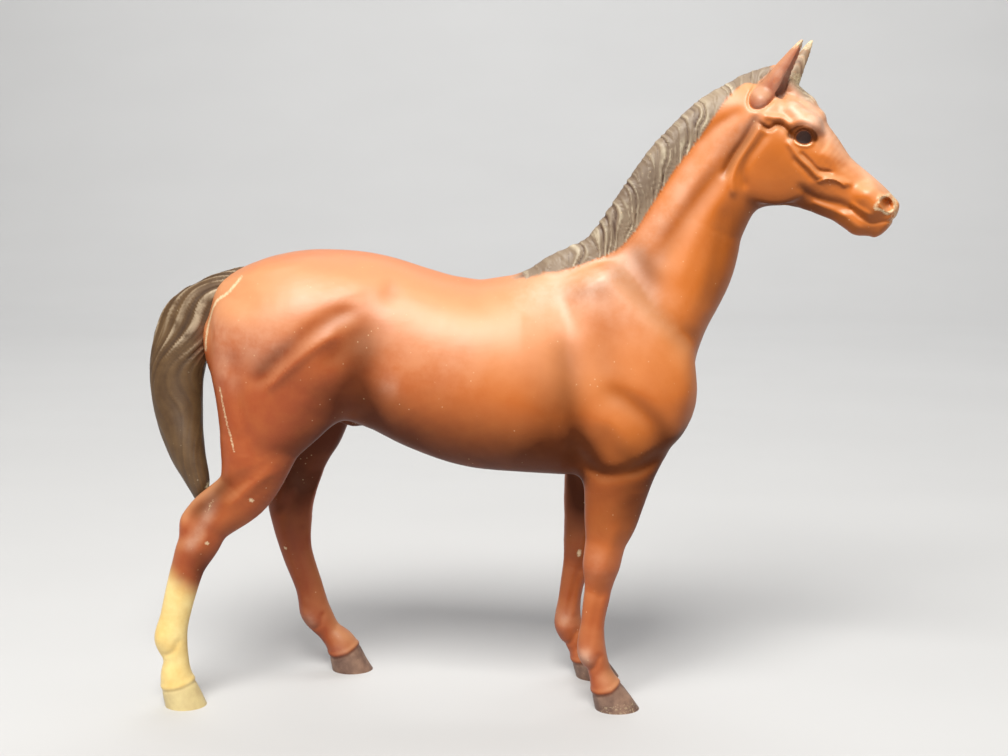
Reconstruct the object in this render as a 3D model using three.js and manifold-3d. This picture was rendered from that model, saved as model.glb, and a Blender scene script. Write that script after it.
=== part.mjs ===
// A moulded plastic toy horse, standing, about 1:12. It is built as such figures are: two hollow half
// shells that meet on the middle plane, four solid legs plugged into them, and a tail. Millimetres, +Z up,
// +X forward.
//
// The skin of the horse is one smooth field: lofted members (barrel, neck, head, legs) that run into each
// other, with the muscles laid on as low ridges and hollows. The skin is meshed once, thinned out, and then
// cut into the pieces with planes and prisms.
import * as THREE from "three";
import { mergeVertices } from "three/addons/utils/BufferGeometryUtils.js";
import Module from "manifold-3d";

const wasm = await Module();
wasm.setup();

// Trunk.
const backHeight = 134.5; // ground to the lowest point of the back
const trunkLength = 155; // buttock to breast
const trunkDepth = 61; // back to belly
const trunkWidth = 53; // across the ribs
const quarterDepth = 45; // hip, front to back
const quarterWidth = 24; // one hip, side to side
const shoulderDepth = 30; // shoulder and upper arm, front to back
const shoulderWidth = 17; // one shoulder, side to side
const breastDepth = 19; // pectoral muscle
const breastWidth = 14;

// Neck and head.
const neckLength = 75; // shoulder to poll, along the neck
const neckDepth = 38; // crest to windpipe, half way up
const neckWidth = 20;
const maneDepth = 10.5; // how far the mane hangs down the right side
const maneWidth = 7.5;
const manePitch = 5.2; // from lock to lock
const headLength = 44; // poll to lip
const headDepth = 34; // forehead to jowl
const headWidth = 18;
const cheekDepth = 22;
const cheekWidth = 7;
const browRadius = 3;
const muzzleRadius = 3.6;
const forelockDepth = 4;
const forelockWidth = 5.4;
const eyeRadius = 2.6;
const nostrilRadius = 1.7;
const mouthRadius = 1.5;
const earLength = 19;
const earDepth = 7.8;
const earWidth = 5.4;
const headTurn = THREE.MathUtils.degToRad(11); // the head looks a little to the right
const turnLength = 22; // stretch of neck that bends for it

// Legs.
const foreSpacing = 28; // right foreleg to left foreleg
const hindSpacing = 34;
const forearmDepth = 20;
const forearmWidth = 13.5;
const kneeDepth = 11.7;
const kneeWidth = 9.8;
const foreCannonDepth = 7.4;
const foreCannonWidth = 6.4;
const gaskinDepth = 18.5;
const gaskinWidth = 12.6;
const hockDepth = 13.6;
const hockWidth = 9.6;
const hindCannonDepth = 9.2;
const hindCannonWidth = 7;
const fetlockDepth = 9.3;
const fetlockWidth = 8.4;
const pasternDepth = 7.2;
const pasternWidth = 6.9;
const hoofLength = 12.5; // at the ground
const hoofWidth = 11.3;

// Tail.
const tailDepth = 16.5;
const tailWidth = 12;
const tailSwing = 11; // how far its tip lies to the right
const tailLocks = 9;
const lockRise = 0.55; // of mane and tail

// Muscles.
const muscleRise = 1.5;
const muscleBreadth = 7;
const grooveDepth = 1.3;
const grooveBreadth = 4.2;

// How the pieces go together.
const wall = 2.4; // of the half shells
const seam = 0.3; // between pieces that are cemented together
const plugHeight = 9; // of the legs' plugs, inside the shells
const plugTaper = 0.6;
const pegRadius = 1.6;
const pegLength = 4;
const bossRadius = 3.4;
const bossLength = 7;
const tailPegRadius = 2.4;
const tailPegLength = 7;

// Fineness of the meshed skin, and how many facets are left of it.
const skinCell = 2.4;
const headCell = 1.5;
const sideCell = 1.9;
const hollowCell = 4;
const smallCell = 0.8;
const skinFacets = 6600;
const tailFacets = 900;
const hollowFacets = 700;
const earFacets = 220;
const overrun = 40; // cutters run this far past what they cut

// Places in the side view. On the trunk they run from the buttock to the breast and from the back's lowest
// point up and down; on the legs from the ground up; on the neck and the head along and across a line.
const onTrunk = (along, drop, y = 0) =>
  new THREE.Vector3(along * trunkLength, y, backHeight + drop * trunkDepth);
const onLeg = (along, up, y = 0) => new THREE.Vector3(along * trunkLength, y, up * backHeight);
const onLine = (root, angle, length) => (along, across, y = 0) =>
  new THREE.Vector3(
    root.x + length * (along * Math.cos(angle) - across * Math.sin(angle)),
    y,
    root.z + length * (along * Math.sin(angle) + across * Math.cos(angle)),
  );
const neckSlope = THREE.MathUtils.degToRad(59.7);
const headSlope = THREE.MathUtils.degToRad(-36.3);
const onNeck = onLine(onTrunk(0.839, -0.31), neckSlope, neckLength);
const onHead = onLine(onNeck(1.036, -0.078), headSlope, headLength);

// Where the legs leave the shells.
const foreCutShare = -1.045;
const hindCutShare = -0.845;
const foreCut = onTrunk(0, foreCutShare).z;
const hindCut = onTrunk(0, hindCutShare).z;

// Trunk: along, top, bottom, width, and how much wider it is at the top than half way up.
const trunkShares = [
  [0.03, -0.17, -0.56, 0.44, 0],
  [0.075, 0.0, -0.7, 0.62, 0],
  [0.155, 0.103, -0.71, 0.8, 0],
  [0.252, 0.142, -0.73, 0.86, -0.1],
  [0.323, 0.126, -0.745, 0.87, -0.15],
  [0.4, 0.068, -0.812, 0.9, -0.1],
  [0.477, 0.018, -0.908, 0.96, -0.05],
  [0.558, -0.006, -0.98, 1, -0.05],
  [0.639, 0.016, -1, 1, -0.15],
  [0.716, 0.06, -1.01, 0.93, -0.35],
  [0.78, 0.09, -1.01, 0.84, -0.4],
  [0.845, 0.0, -0.97, 0.76, -0.3],
  [0.905, -0.12, -0.89, 0.68, -0.1],
  [0.945, -0.27, -0.77, 0.56, 0],
  [0.965, -0.38, -0.66, 0.4, 0],
];

// Neck and head: along, across, depth, width, and how much wider the upper edge is.
const neckShares = [
  [-0.14, 0.07, 1.2, 1.5, -0.35],
  [0.022, 0.05, 1.22, 1.4, -0.4],
  [0.199, 0.02, 1.2, 1.34, -0.45],
  [0.392, 0.006, 1.1, 1.15, -0.45],
  [0.566, 0.036, 1, 1, -0.4],
  [0.742, 0.04, 0.94, 0.93, -0.3],
  [0.884, 0.024, 0.9, 0.91, -0.2],
  [1.0, -0.01, 0.78, 0.88, 0],
  [1.1, -0.03, 0.62, 0.8, 0],
];
const headShares = [
  [-0.06, 0.0, 0.8, 0.84, 0.1],
  [0.06, -0.04, 0.98, 0.98, 0.12],
  [0.19, -0.058, 0.98, 1, 0.15],
  [0.35, -0.045, 0.78, 0.96, 0.2],
  [0.56, -0.038, 0.58, 0.74, 0.15],
  [0.74, -0.019, 0.5, 0.61, 0.1],
  [0.88, -0.012, 0.45, 0.62, 0],
  [0.99, -0.006, 0.38, 0.5, 0],
];

// Muscles of the breast, and the small swellings of the head: along, across or drop, and to the side.
const breastShares = [
  [0.9, -0.4, 0.62],
  [0.925, -0.6, 0.56],
  [0.885, -0.77, 0.6],
];
const cheekShares = [
  [0.1, -0.12, 0.62],
  [0.2, -0.16, 0.62],
];
const browShares = [
  [0.07, 0.2, 0.72],
  [0.2, 0.2, 0.78],
];
const muzzleShares = [
  [0.8, 0.05, 0.5],
  [0.87, 0.04, 0.5],
];
const chinShares = [
  [0.79, -0.12, 0],
  [0.865, -0.13, 0],
];
const forelockShares = [
  [-0.14, 0.305, 0.05],
  [-0.08, 0.317, 0.05],
  [0, 0.312, 0.05],
  [0.09, 0.302, 0.05],
];

// Mane: along the neck, across it, and to the side.
const maneShares = [
  [-0.1, 0.5, 0],
  [0.02, 0.43, -0.1],
  [0.13, 0.36, -0.24],
  [0.27, 0.268, -0.33],
  [0.41, 0.25, -0.36],
  [0.57, 0.242, -0.36],
  [0.742, 0.226, -0.34],
  [0.884, 0.185, -0.3],
  [1.0, 0.144, -0.2],
  [1.1, 0.088, 0],
  [1.18, 0.062, 0],
  [1.25, 0.027, 0],
];

// Legs: along the trunk, up from the ground, and out to the side.
const foreGirths = [
  [0.56 * shoulderDepth, 0.7 * shoulderWidth],
  [0.94 * shoulderDepth, 0.94 * shoulderWidth],
  [shoulderDepth, shoulderWidth],
  [0.82 * shoulderDepth, 0.98 * shoulderWidth],
  [1.06 * forearmDepth, 1.06 * forearmWidth],
  [0.82 * forearmDepth, 0.84 * forearmWidth],
  [1.1 * kneeDepth, kneeWidth],
  [kneeDepth, kneeWidth],
  [1.16 * foreCannonDepth, 1.06 * foreCannonWidth],
  [foreCannonDepth, foreCannonWidth],
  [0.95 * fetlockDepth, 0.96 * fetlockWidth],
  [pasternDepth, pasternWidth],
  [0.74 * hoofLength, 0.86 * hoofWidth],
  [hoofLength, hoofWidth],
  [1.14 * hoofLength, 1.08 * hoofWidth],
];
const rightForeShares = [
  [0.787, -0.02, 0.66],
  [0.865, 0.83, 0.86],
  [0.868, 0.726, 0.98],
  [0.847, 0.622, 1],
  [0.838, 0.563, 1],
  [0.824, 0.456, 1],
  [0.815, 0.404, 1],
  [0.806, 0.348, 1],
  [0.799, 0.285, 1],
  [0.79, 0.213, 1],
  [0.788, 0.144, 1],
  [0.803, 0.096, 1],
  [0.817, 0.052, 1],
  [0.837, 0, 1],
  [0.852, -0.037, 1],
];
const leftForeShares = [
  [0.787, -0.02, 0.66],
  [0.865, 0.83, 0.86],
  [0.862, 0.726, 0.98],
  [0.829, 0.622, 1],
  [0.803, 0.563, 1],
  [0.782, 0.456, 1],
  [0.772, 0.404, 1],
  [0.767, 0.348, 1],
  [0.756, 0.285, 1],
  [0.744, 0.207, 1],
  [0.741, 0.133, 1],
  [0.761, 0.081, 1],
  [0.777, 0.048, 1],
  [0.8, 0, 1],
  [0.816, -0.037, 1],
];
const hindGirths = [
  [quarterDepth, quarterWidth],
  [0.93 * quarterDepth, 0.95 * quarterWidth],
  [0.59 * quarterDepth, 0.76 * quarterWidth],
  [0.94 * gaskinDepth, gaskinWidth],
  [1.12 * hockDepth, hockWidth],
  [0.96 * hockDepth, 0.94 * hockWidth],
  [1.12 * hindCannonDepth, 1.08 * hindCannonWidth],
  [hindCannonDepth, hindCannonWidth],
  [1.08 * fetlockDepth, fetlockWidth],
  [1.1 * pasternDepth, 1.04 * pasternWidth],
  [0.8 * hoofLength, 0.86 * hoofWidth],
  [hoofLength, hoofWidth],
  [1.12 * hoofLength, 1.08 * hoofWidth],
];
const rightHindShares = [
  [0.194, 0.889, 0.7],
  [0.165, 0.763, 0.74],
  [0.129, 0.652, 0.82],
  [0.094, 0.522, 0.9],
  [0.015, 0.444, 0.95],
  [-0.003, 0.396, 1],
  [-0.026, 0.338, 1],
  [-0.056, 0.219, 1],
  [-0.066, 0.163, 1],
  [-0.058, 0.115, 1],
  [-0.058, 0.067, 1],
  [-0.042, 0, 1],
  [-0.034, -0.037, 1],
];
const leftHindShares = [
  [0.194, 0.889, 0.7],
  [0.18, 0.763, 0.74],
  [0.188, 0.652, 0.82],
  [0.17, 0.541, 0.9],
  [0.145, 0.441, 0.95],
  [0.145, 0.381, 1],
  [0.154, 0.307, 1],
  [0.179, 0.215, 1],
  [0.195, 0.144, 1],
  [0.221, 0.1, 1],
  [0.248, 0.063, 1],
  [0.268, 0, 1],
  [0.282, -0.037, 1],
];

// Tail: along the trunk, drop, to the side, depth and width. Its fall follows the height of the leg that
// it meets.
const dockShares = [
  [0.13, -0.02, 0, 0.66, 0.8],
  [0.08, -0.058, 0, 0.8, 0.86],
  [0.03, -0.118, 0, 0.96, 0.92],
  [-0.034, -0.25, 0.02, 1.12, 1],
];
const tailFallShares = [
  [-0.06, 0.787, 0.1, 1.06, 1],
  [-0.056, 0.687, 0.35, 0.92, 0.96],
  [-0.036, 0.601, 0.72, 0.7, 0.8],
  [-0.012, 0.533, 0.94, 0.46, 0.6],
  [-0.004, 0.492, 1, 0.24, 0.34],
];
const tailMiddleShares = [-0.056, 0.775, 0.3];
// The seat across the dock, from its top to its lower end.
const seatShares = [
  [0.085, 0.06],
  [0.012, -0.33],
];

// Ear: along it, depth and width.
const earShares = [
  [-0.16, 0.72, 0.9],
  [0.05, 1, 1],
  [0.28, 0.88, 1],
  [0.5, 0.68, 0.8],
  [0.74, 0.46, 0.55],
  [0.92, 0.27, 0.34],
  [0.99, 0.14, 0.18],
];
const earHollowShares = [0.62, 0.3, 0.34]; // its size, and how far forward and outward it is set
// Where the right and the left ear stand and where they point: along and across the head, to the side.
const earPlaceShares = [
  { root: [-0.15, 0.18, -0.4], tip: [-0.182, 0.63, -0.62] },
  { root: [-0.08, 0.22, 0.42], tip: [-0.135, 0.61, 0.5] },
];

// Ridges and hollows of the body, drawn in the side view: rise, breadth, how far out they start, then the
// places.
const bodyReliefShares = [
  { rise: -1, breadth: 1, from: 0.3, line: [[0.33, -0.1], [0.253, -0.22], [0.194, -0.329], [0.139, -0.458]] },
  { rise: 0.7, breadth: 1, from: 0.3, line: [[0.3, -0.33], [0.22, -0.42], [0.15, -0.55]] },
  { rise: -0.8, breadth: 1.3, from: 0.3, line: [[0.385, 0], [0.37, -0.17], [0.325, -0.25], [0.275, -0.22]] },
  { rise: -0.8, breadth: 1.3, from: 0.3, line: [[0.352, -0.3], [0.328, -0.4], [0.315, -0.52], [0.31, -0.66]] },
  { rise: -0.8, breadth: 1.1, from: 0.18, line: [[0.764, 0.06], [0.822, -0.03], [0.88, -0.12], [0.93, -0.21]] },
  { rise: -1, breadth: 1.1, from: 0.28, line: [[0.744, -0.42], [0.748, -0.6], [0.755, -0.78], [0.79, -0.9]] },
  { rise: -0.9, breadth: 0.8, from: 0.28, line: [[0.79, -0.9], [0.83, -0.92], [0.873, -0.88], [0.921, -0.77]] },
  { rise: -0.7, breadth: 0.9, from: 0.24, line: [[0.9, -0.55], [0.874, -0.7], [0.92, -0.83]] },
  { rise: -0.9, breadth: 0.55, from: 0.02, line: [[0.885, -0.91], [0.922, -0.86], [0.955, -0.82]] },
  { rise: -0.5, breadth: 1.1, from: 0.28, line: [[0.8, -0.2], [0.79, -0.4], [0.82, -0.6]] },
  { rise: 0.5, breadth: 1.1, from: 0.28, line: [[0.84, -0.25], [0.85, -0.45], [0.84, -0.62]] },
];
// The same for the neck and for the head.
const neckReliefShares = [
  { rise: -0.9, breadth: 0.8, from: 0.08, line: [[0.93, -0.2], [0.7, -0.17], [0.42, -0.2], [0.2, -0.26]] },
  { rise: 0.5, breadth: 0.9, from: 0.08, line: [[0.8, 0.02], [0.55, 0], [0.3, -0.06]] },
];
const headReliefShares = [
  { rise: 0.5, breadth: 0.4, from: 0.04, line: [[0.3, 0.06], [0.45, 0.02], [0.6, 0.01]] },
  { rise: -0.5, breadth: 0.35, from: 0.04, line: [[0.42, -0.12], [0.56, -0.1], [0.68, -0.02]] },
  { rise: -0.8, breadth: 0.5, from: 0.04, line: [[0.44, -0.27], [0.48, -0.16], [0.5, -0.06]] },
  { rise: -0.7, breadth: 0.6, from: 0.06, line: [[-0.12, 0.06], [-0.13, -0.1], [-0.13, -0.28], [-0.08, -0.42]] },
];
// Small balls pressed flat: place along and across the head, stretch, and how deep they sink in.
const eyeShares = { place: [0.19, 0.105], stretch: [1.15, 0.7, 0.85], sunk: 0.35 };
const nostrilShares = { place: [0.88, 0.06], stretch: [1.3, 0.8, 0.8], sunk: 0.1 };
const mouthShares = { place: [0.84, -0.085], stretch: [3, 0.7, 0.3], sunk: 0 };

// How the pieces go together: the legs' plugs, where the fore and the hind legs part, and the pegs and
// bosses that join the half shells, with the way from a place inside to the skin and how deep a boss is set.
const plugShares = { fore: 0.31, hind: 0.34 };
const partingShare = 0.36;
const bendShare = 0.45; // where the neck's bend begins
const fineShare = 0.75; // where the head's finer cells begin
const bossShares = [
  { at: onTrunk, from: [0.3, -0.3], way: 1, inset: 1.3 },
  { at: onTrunk, from: [0.64, -0.3], way: 1, inset: 1.3 },
  { at: onTrunk, from: [0.58, -0.5], way: -1, inset: 1.3 },
  { at: onTrunk, from: [0.84, -0.5], way: -1, inset: 1.3 },
  { at: onNeck, from: [0.45, 0], way: 1, inset: 2.6 },
  { at: onNeck, from: [0.6, 0], way: -1, inset: 1.6 },
];
const pegShares = [
  { at: onHead, from: [0.3, -0.04] },
  { at: onTrunk, from: [0.1, -0.35] },
];

// A loft: stations with a place, a depth in the side view and a width, joined by smooth curves.
const smoothSteps = 4;
const flatCapShare = 0.4; // how far a blunt end bulges, of its half depth
function loft(stations, cap = 1) {
  const path = new THREE.CatmullRomCurve3(stations.map((station) => station.at));
  const girth = new THREE.CatmullRomCurve3(
    stations.map(({ depth, width, crown = 0 }) => new THREE.Vector3(depth / 2, width / 2, crown)),
  );
  const count = (stations.length - 1) * smoothSteps;
  const box = new THREE.Box3();
  const rows = [];
  for (let i = 0; i <= count; i++) {
    const at = path.getPoint(i / count);
    const size = girth.getPoint(i / count);
    rows.push({ at, size });
    box.expandByPoint(at.clone().addScalar(Math.max(size.x, size.y)));
    box.expandByPoint(at.clone().subScalar(Math.max(size.x, size.y)));
  }
  const links = rows.slice(1).map((end, i) => {
    const { at, size } = rows[i];
    const way = end.at.clone().sub(at);
    const flat = Math.hypot(way.x, way.z);
    const more = end.size.clone().sub(size);
    const crown = (size.z + end.size.z) / 2;
    const [acrossX, acrossZ] = [-way.z / flat, way.x / flat];
    return { at, way, square: way.lengthSq(), acrossX, acrossZ, size, more, crown };
  });
  return { links, box, cap };
}

// Signed distance to a loft, near enough: negative inside.
function loftDistance({ links, cap }, x, y, z) {
  let least = Infinity;
  for (const { at, way, square, acrossX, acrossZ, size, more, crown } of links) {
    const px = x - at.x;
    const py = y - at.y;
    const pz = z - at.z;
    const dot = (px * way.x + py * way.y + pz * way.z) / square;
    const t = dot < 0 ? 0 : dot > 1 ? 1 : dot;
    const qx = px - t * way.x;
    const qy = py - t * way.y;
    const qz = pz - t * way.z;
    const a = size.x + t * more.x;
    const u = (qx * acrossX + qz * acrossZ) / a;
    const lean = 1 + crown * (u < -1 ? -1 : u > 1 ? 1 : u);
    const b = (size.y + t * more.y) * lean;
    const v = qy / b;
    const c = a * cap;
    const w = (qx * acrossZ - qz * acrossX) / c;
    const r = Math.sqrt(u * u + v * v + w * w);
    const g = Math.sqrt((u * u) / (a * a) + (v * v) / (b * b) + (w * w) / (c * c));
    const d = g > 0 ? (r * (r - 1)) / g : -Math.min(a, b);
    if (d < least) least = d;
  }
  return least;
}

const boxDistance = ({ box }, x, y, z) =>
  Math.hypot(
    Math.max(box.min.x - x, x - box.max.x, 0),
    Math.max(box.min.y - y, y - box.max.y, 0),
    Math.max(box.min.z - z, z - box.max.z, 0),
  );

// Two distances run into each other over a blend.
function blended(a, b, blend) {
  const h = Math.max(blend - Math.abs(a - b), 0);
  return Math.min(a, b) - (h * h) / (4 * blend);
}
const smooth = (t) => (t <= 0 ? 0 : t >= 1 ? 1 : t * t * (3 - 2 * t));

const rowsToStations = (rows, at, depth, width, side = 0) =>
  rows.map(([along, across, deep, wide, crown]) => ({
    at: at(along, across, side),
    depth: deep * depth,
    width: wide * width,
    crown,
  }));

const trunk = loft(
  trunkShares.map(([along, top, bottom, wide, crown]) => ({
    at: onTrunk(along, (top + bottom) / 2),
    depth: (top - bottom) * trunkDepth,
    width: wide * trunkWidth,
    crown,
  })),
  flatCapShare,
);
const neck = loft(rowsToStations(neckShares, onNeck, neckDepth, neckWidth), flatCapShare);
const head = loft(rowsToStations(headShares, onHead, headDepth, headWidth), flatCapShare);
const mane = loft(
  maneShares.map(([along, across, out], i) => {
    const end = Math.min(1, (i + 1) / 3, (maneShares.length - i) / 3);
    const at = onNeck(along, across, (out * neckWidth) / 2);
    return { at, depth: end * maneDepth, width: end * maneWidth };
  }),
);
const swelling = (shares, at, spread, depth, width) => (side) => {
  const places = shares.map(([along, across, out]) => at(along, across, (side * out * spread) / 2));
  return loft(places.map((place) => ({ at: place, depth, width })));
};
const breast = swelling(breastShares, onTrunk, foreSpacing, breastDepth, breastWidth);
const cheek = swelling(cheekShares, onHead, headWidth, cheekDepth, cheekWidth);
const brow = swelling(browShares, onHead, headWidth, 2 * browRadius, 2 * browRadius);
const muzzle = swelling(muzzleShares, onHead, headWidth, 2 * muzzleRadius, 2 * muzzleRadius);
const chin = swelling(chinShares, onHead, headWidth, 2 * muzzleRadius, 2 * muzzleRadius);
const forelock = swelling(forelockShares, onHead, headWidth, forelockDepth, forelockWidth);

const legPath = (shares, spacing, side) =>
  shares.map(([along, up, out], i) => {
    const y = (side * out * spacing) / 2;
    return i === 0 && up < 0 ? onTrunk(along, up, y) : onLeg(along, up, y);
  });
const leg = (shares, girths, spacing, side) => {
  const places = legPath(shares, spacing, side);
  return loft(places.map((at, i) => ({ at, depth: girths[i][0], width: girths[i][1] })), flatCapShare);
};
const foreRight = leg(rightForeShares, foreGirths, foreSpacing, -1);
const foreLeft = leg(leftForeShares, foreGirths, foreSpacing, 1);
const hindRight = leg(rightHindShares, hindGirths, hindSpacing, -1);
const hindLeft = leg(leftHindShares, hindGirths, hindSpacing, 1);

// Every member of the skin, with the length over which it runs into the others.
const wideBlend = 0.14 * trunkDepth;
const middleBlend = 0.1 * trunkDepth;
const tightBlend = 0.08 * headDepth;
const members = [
  [trunk, wideBlend],
  [neck, wideBlend],
  [breast(-1), middleBlend],
  [breast(1), middleBlend],
  [foreRight, middleBlend],
  [foreLeft, middleBlend],
  [hindRight, middleBlend],
  [hindLeft, middleBlend],
  [head, 2 * tightBlend],
  [mane, tightBlend],
  [cheek(-1), tightBlend],
  [cheek(1), tightBlend],
  [brow(-1), tightBlend],
  [brow(1), tightBlend],
  [muzzle(-1), tightBlend],
  [muzzle(1), tightBlend],
  [chin(0), tightBlend],
  [forelock(1), tightBlend],
];

// The ridges and hollows, each as a smooth line in the side view.
const reliefs = [
  ...bodyReliefShares.map((relief) => ({ ...relief, at: onTrunk })),
  ...neckReliefShares.map((relief) => ({ ...relief, at: onNeck })),
  ...headReliefShares.map((relief) => ({ ...relief, at: onHead })),
].map(({ rise, breadth, from, line, at }) => {
  const curve = new THREE.CatmullRomCurve3(line.map(([along, across]) => at(along, across)));
  return {
    points: curve.getPoints((line.length - 1) * smoothSteps),
    rise: rise > 0 ? rise * muscleRise : rise * grooveDepth,
    breadth: rise > 0 ? breadth * muscleBreadth : breadth * grooveBreadth,
    from: (from * trunkWidth) / 2,
  };
});

function reliefAt(x, y, z) {
  let total = 0;
  for (const { points, rise, breadth, from } of reliefs) {
    const side = smooth((Math.abs(y) - from) / from);
    if (side === 0) continue;
    let near = Infinity;
    for (let i = 1; i < points.length; i++) {
      const ax = points[i - 1].x;
      const az = points[i - 1].z;
      const bx = points[i].x - ax;
      const bz = points[i].z - az;
      const t = Math.min(1, Math.max(0, ((x - ax) * bx + (z - az) * bz) / (bx * bx + bz * bz)));
      near = Math.min(near, (x - ax - t * bx) ** 2 + (z - az - t * bz) ** 2);
    }
    total += rise * side * Math.exp(-near / (breadth * breadth));
  }
  return total;
}

// The mane's locks, slanting back and down over the crest.
const lockAngle = neckSlope - THREE.MathUtils.degToRad(38);
const manePhase = (x, z) => (2 * Math.PI * (x * Math.cos(lockAngle) + z * Math.sin(lockAngle))) / manePitch;
const lockRidge = (phase) => Math.abs(Math.sin(phase / 2)) - 0.6;

function skin(x, y, z) {
  let d = Infinity;
  for (const [member, blend] of members) {
    if (boxDistance(member, x, y, z) > d + blend) continue;
    const own = loftDistance(member, x, y, z);
    const locks = member === mane && own < maneWidth ? lockRise * lockRidge(manePhase(x, z)) : 0;
    d = d === Infinity ? own : blended(d, own - locks, blend);
  }
  return Math.abs(d) < wideBlend ? d - reliefAt(x, y, z) : d;
}

// The hollow inside the shells follows the trunk and the neck.
function hollow(x, y, z) {
  const whole = blended(loftDistance(trunk, x, y, z), loftDistance(neck, x, y, z), wideBlend);
  return whole + wall - reliefAt(x, y, z);
}

// The tail, in long locks, clear of the skin.
const tailStations = (shares, at) =>
  shares.map(([along, height, out, deep, wide]) => ({
    at: at(along, height, -out * tailSwing),
    depth: deep * tailDepth,
    width: wide * tailWidth,
  }));
const tail = loft([...tailStations(dockShares, onTrunk), ...tailStations(tailFallShares, onLeg)]);
const tailMiddle = onLeg(tailMiddleShares[0], tailMiddleShares[1], -tailMiddleShares[2] * tailSwing);
const [seatTop, seatBottom] = seatShares.map(([along, drop]) => onTrunk(along, drop));
const seatWay = seatTop.clone().sub(seatBottom).normalize();
function tailSkin(x, y, z) {
  const d = loftDistance(tail, x, y, z);
  if (Math.abs(d) > tailWidth) return d;
  const turn = Math.atan2(y - tailMiddle.y, x - tailMiddle.x) * tailLocks;
  const own = d - lockRise * lockRidge(turn);
  const overSeat = (x - seatBottom.x) * seatWay.x + (z - seatBottom.z) * seatWay.z > 0;
  return overSeat ? own : Math.max(own, 2 * seam - skin(x, y, z));
}

// Grid lines over a box, closer together where a finer cell is asked for.
function gridLines(from, to, cellAt) {
  const lines = [from];
  while (lines[lines.length - 1] < to) lines.push(lines[lines.length - 1] + cellAt(lines[lines.length - 1]));
  return lines;
}

function linesOver(box, cell) {
  const { min, max } = box.clone().expandByScalar(cell);
  return ["x", "y", "z"].map((axis) => gridLines(min[axis], max[axis], () => cell));
}

// The six tetrahedra of a cell, each along its long diagonal, and for each pattern of inside corners the
// order that puts those first without turning the tetrahedron inside out.
const axisOrders = [[0, 1, 2], [0, 2, 1], [1, 0, 2], [1, 2, 0], [2, 0, 1], [2, 1, 0]];
const oddOrder = (order) => {
  const swaps = order.flatMap((late, i) => order.slice(0, i).filter((early) => early > late));
  return swaps.length % 2 === 1;
};
const cornerOrders = Array.from({ length: 2 ** 4 }, (_, pattern) => {
  const inside = [0, 1, 2, 3].filter((i) => pattern & (1 << i));
  const outside = [0, 1, 2, 3].filter((i) => !(pattern & (1 << i)));
  const order = inside.length === 3 ? [...outside, ...inside] : [...inside, ...outside];
  if (oddOrder(order)) [order[2], order[3]] = [order[3], order[2]];
  return order;
});

// The surface where a field is zero, as a closed mesh. Blocks of the grid that lie far from it are passed
// over.
const blockSteps = 4;
function polygonise(field, xs, ys, zs) {
  const nx = xs.length;
  const ny = ys.length;
  const nz = zs.length;
  const values = new Float32Array(nx * ny * nz);
  for (let i = 0; i < nx; i += blockSteps) {
    for (let j = 0; j < ny; j += blockSteps) {
      for (let k = 0; k < nz; k += blockSteps) {
        const iEnd = Math.min(i + blockSteps, nx);
        const jEnd = Math.min(j + blockSteps, ny);
        const kEnd = Math.min(k + blockSteps, nz);
        const mx = (xs[i] + xs[iEnd - 1]) / 2;
        const my = (ys[j] + ys[jEnd - 1]) / 2;
        const mz = (zs[k] + zs[kEnd - 1]) / 2;
        const middle = field(mx, my, mz);
        const reach = 2 * Math.hypot(xs[iEnd - 1] - mx, ys[jEnd - 1] - my, zs[kEnd - 1] - mz);
        for (let a = i; a < iEnd; a++) {
          for (let b = j; b < jEnd; b++) {
            for (let c = k; c < kEnd; c++) {
              const far = Math.abs(middle) > reach;
              values[(a * ny + b) * nz + c] = far ? middle : field(xs[a], ys[b], zs[c]);
            }
          }
        }
      }
    }
  }
  const points = [];
  const faces = [];
  const known = new Map();
  const gridPoint = (n) => [xs[Math.floor(n / (ny * nz))], ys[Math.floor(n / nz) % ny], zs[n % nz]];
  const crossing = (m, n) => {
    const low = Math.min(m, n);
    const high = Math.max(m, n);
    const key = low * values.length + high;
    if (!known.has(key)) {
      const t = Math.min(0.97, Math.max(0.03, values[low] / (values[low] - values[high])));
      const p = gridPoint(low);
      const q = gridPoint(high);
      known.set(key, points.length / 3);
      points.push(p[0] + t * (q[0] - p[0]), p[1] + t * (q[1] - p[1]), p[2] + t * (q[2] - p[2]));
    }
    return known.get(key);
  };
  const strides = [ny * nz, nz, 1];
  const diagonal = strides[0] + strides[1] + strides[2];
  for (let i = 0; i < nx - 1; i++) {
    for (let j = 0; j < ny - 1; j++) {
      for (let k = 0; k < nz - 1; k++) {
        const base = (i * ny + j) * nz + k;
        let some = 0;
        for (let n = 0; n < 8; n++) {
          const step = (n & 1) * strides[0] + ((n >> 1) & 1) * strides[1] + (n >> 2) * strides[2];
          if (values[base + step] < 0) some++;
        }
        if (some === 0 || some === 8) continue;
        for (const order of axisOrders) {
          const first = base + strides[order[0]];
          const second = first + strides[order[1]];
          const corners = [base, first, second, base + diagonal];
          if (oddOrder(order)) [corners[1], corners[2]] = [corners[2], corners[1]];
          const pattern = corners.reduce((sum, at, n) => sum + (values[at] < 0 ? 1 << n : 0), 0);
          if (pattern === 0 || pattern === cornerOrders.length - 1) continue;
          const [a, b, c, d] = cornerOrders[pattern].map((n) => corners[n]);
          const inside = cornerOrders[pattern].filter((n) => pattern & (1 << n)).length;
          if (inside === 2) {
            const ring = [crossing(a, c), crossing(a, d), crossing(b, d), crossing(b, c)];
            faces.push([ring[0], ring[1], ring[2]], [ring[0], ring[2], ring[3]]);
          } else {
            const ring = [crossing(a, b), crossing(a, c), crossing(a, d)];
            faces.push(inside === 1 ? ring : ring.reverse());
          }
        }
      }
    }
  }
  return { points, faces };
}

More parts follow.
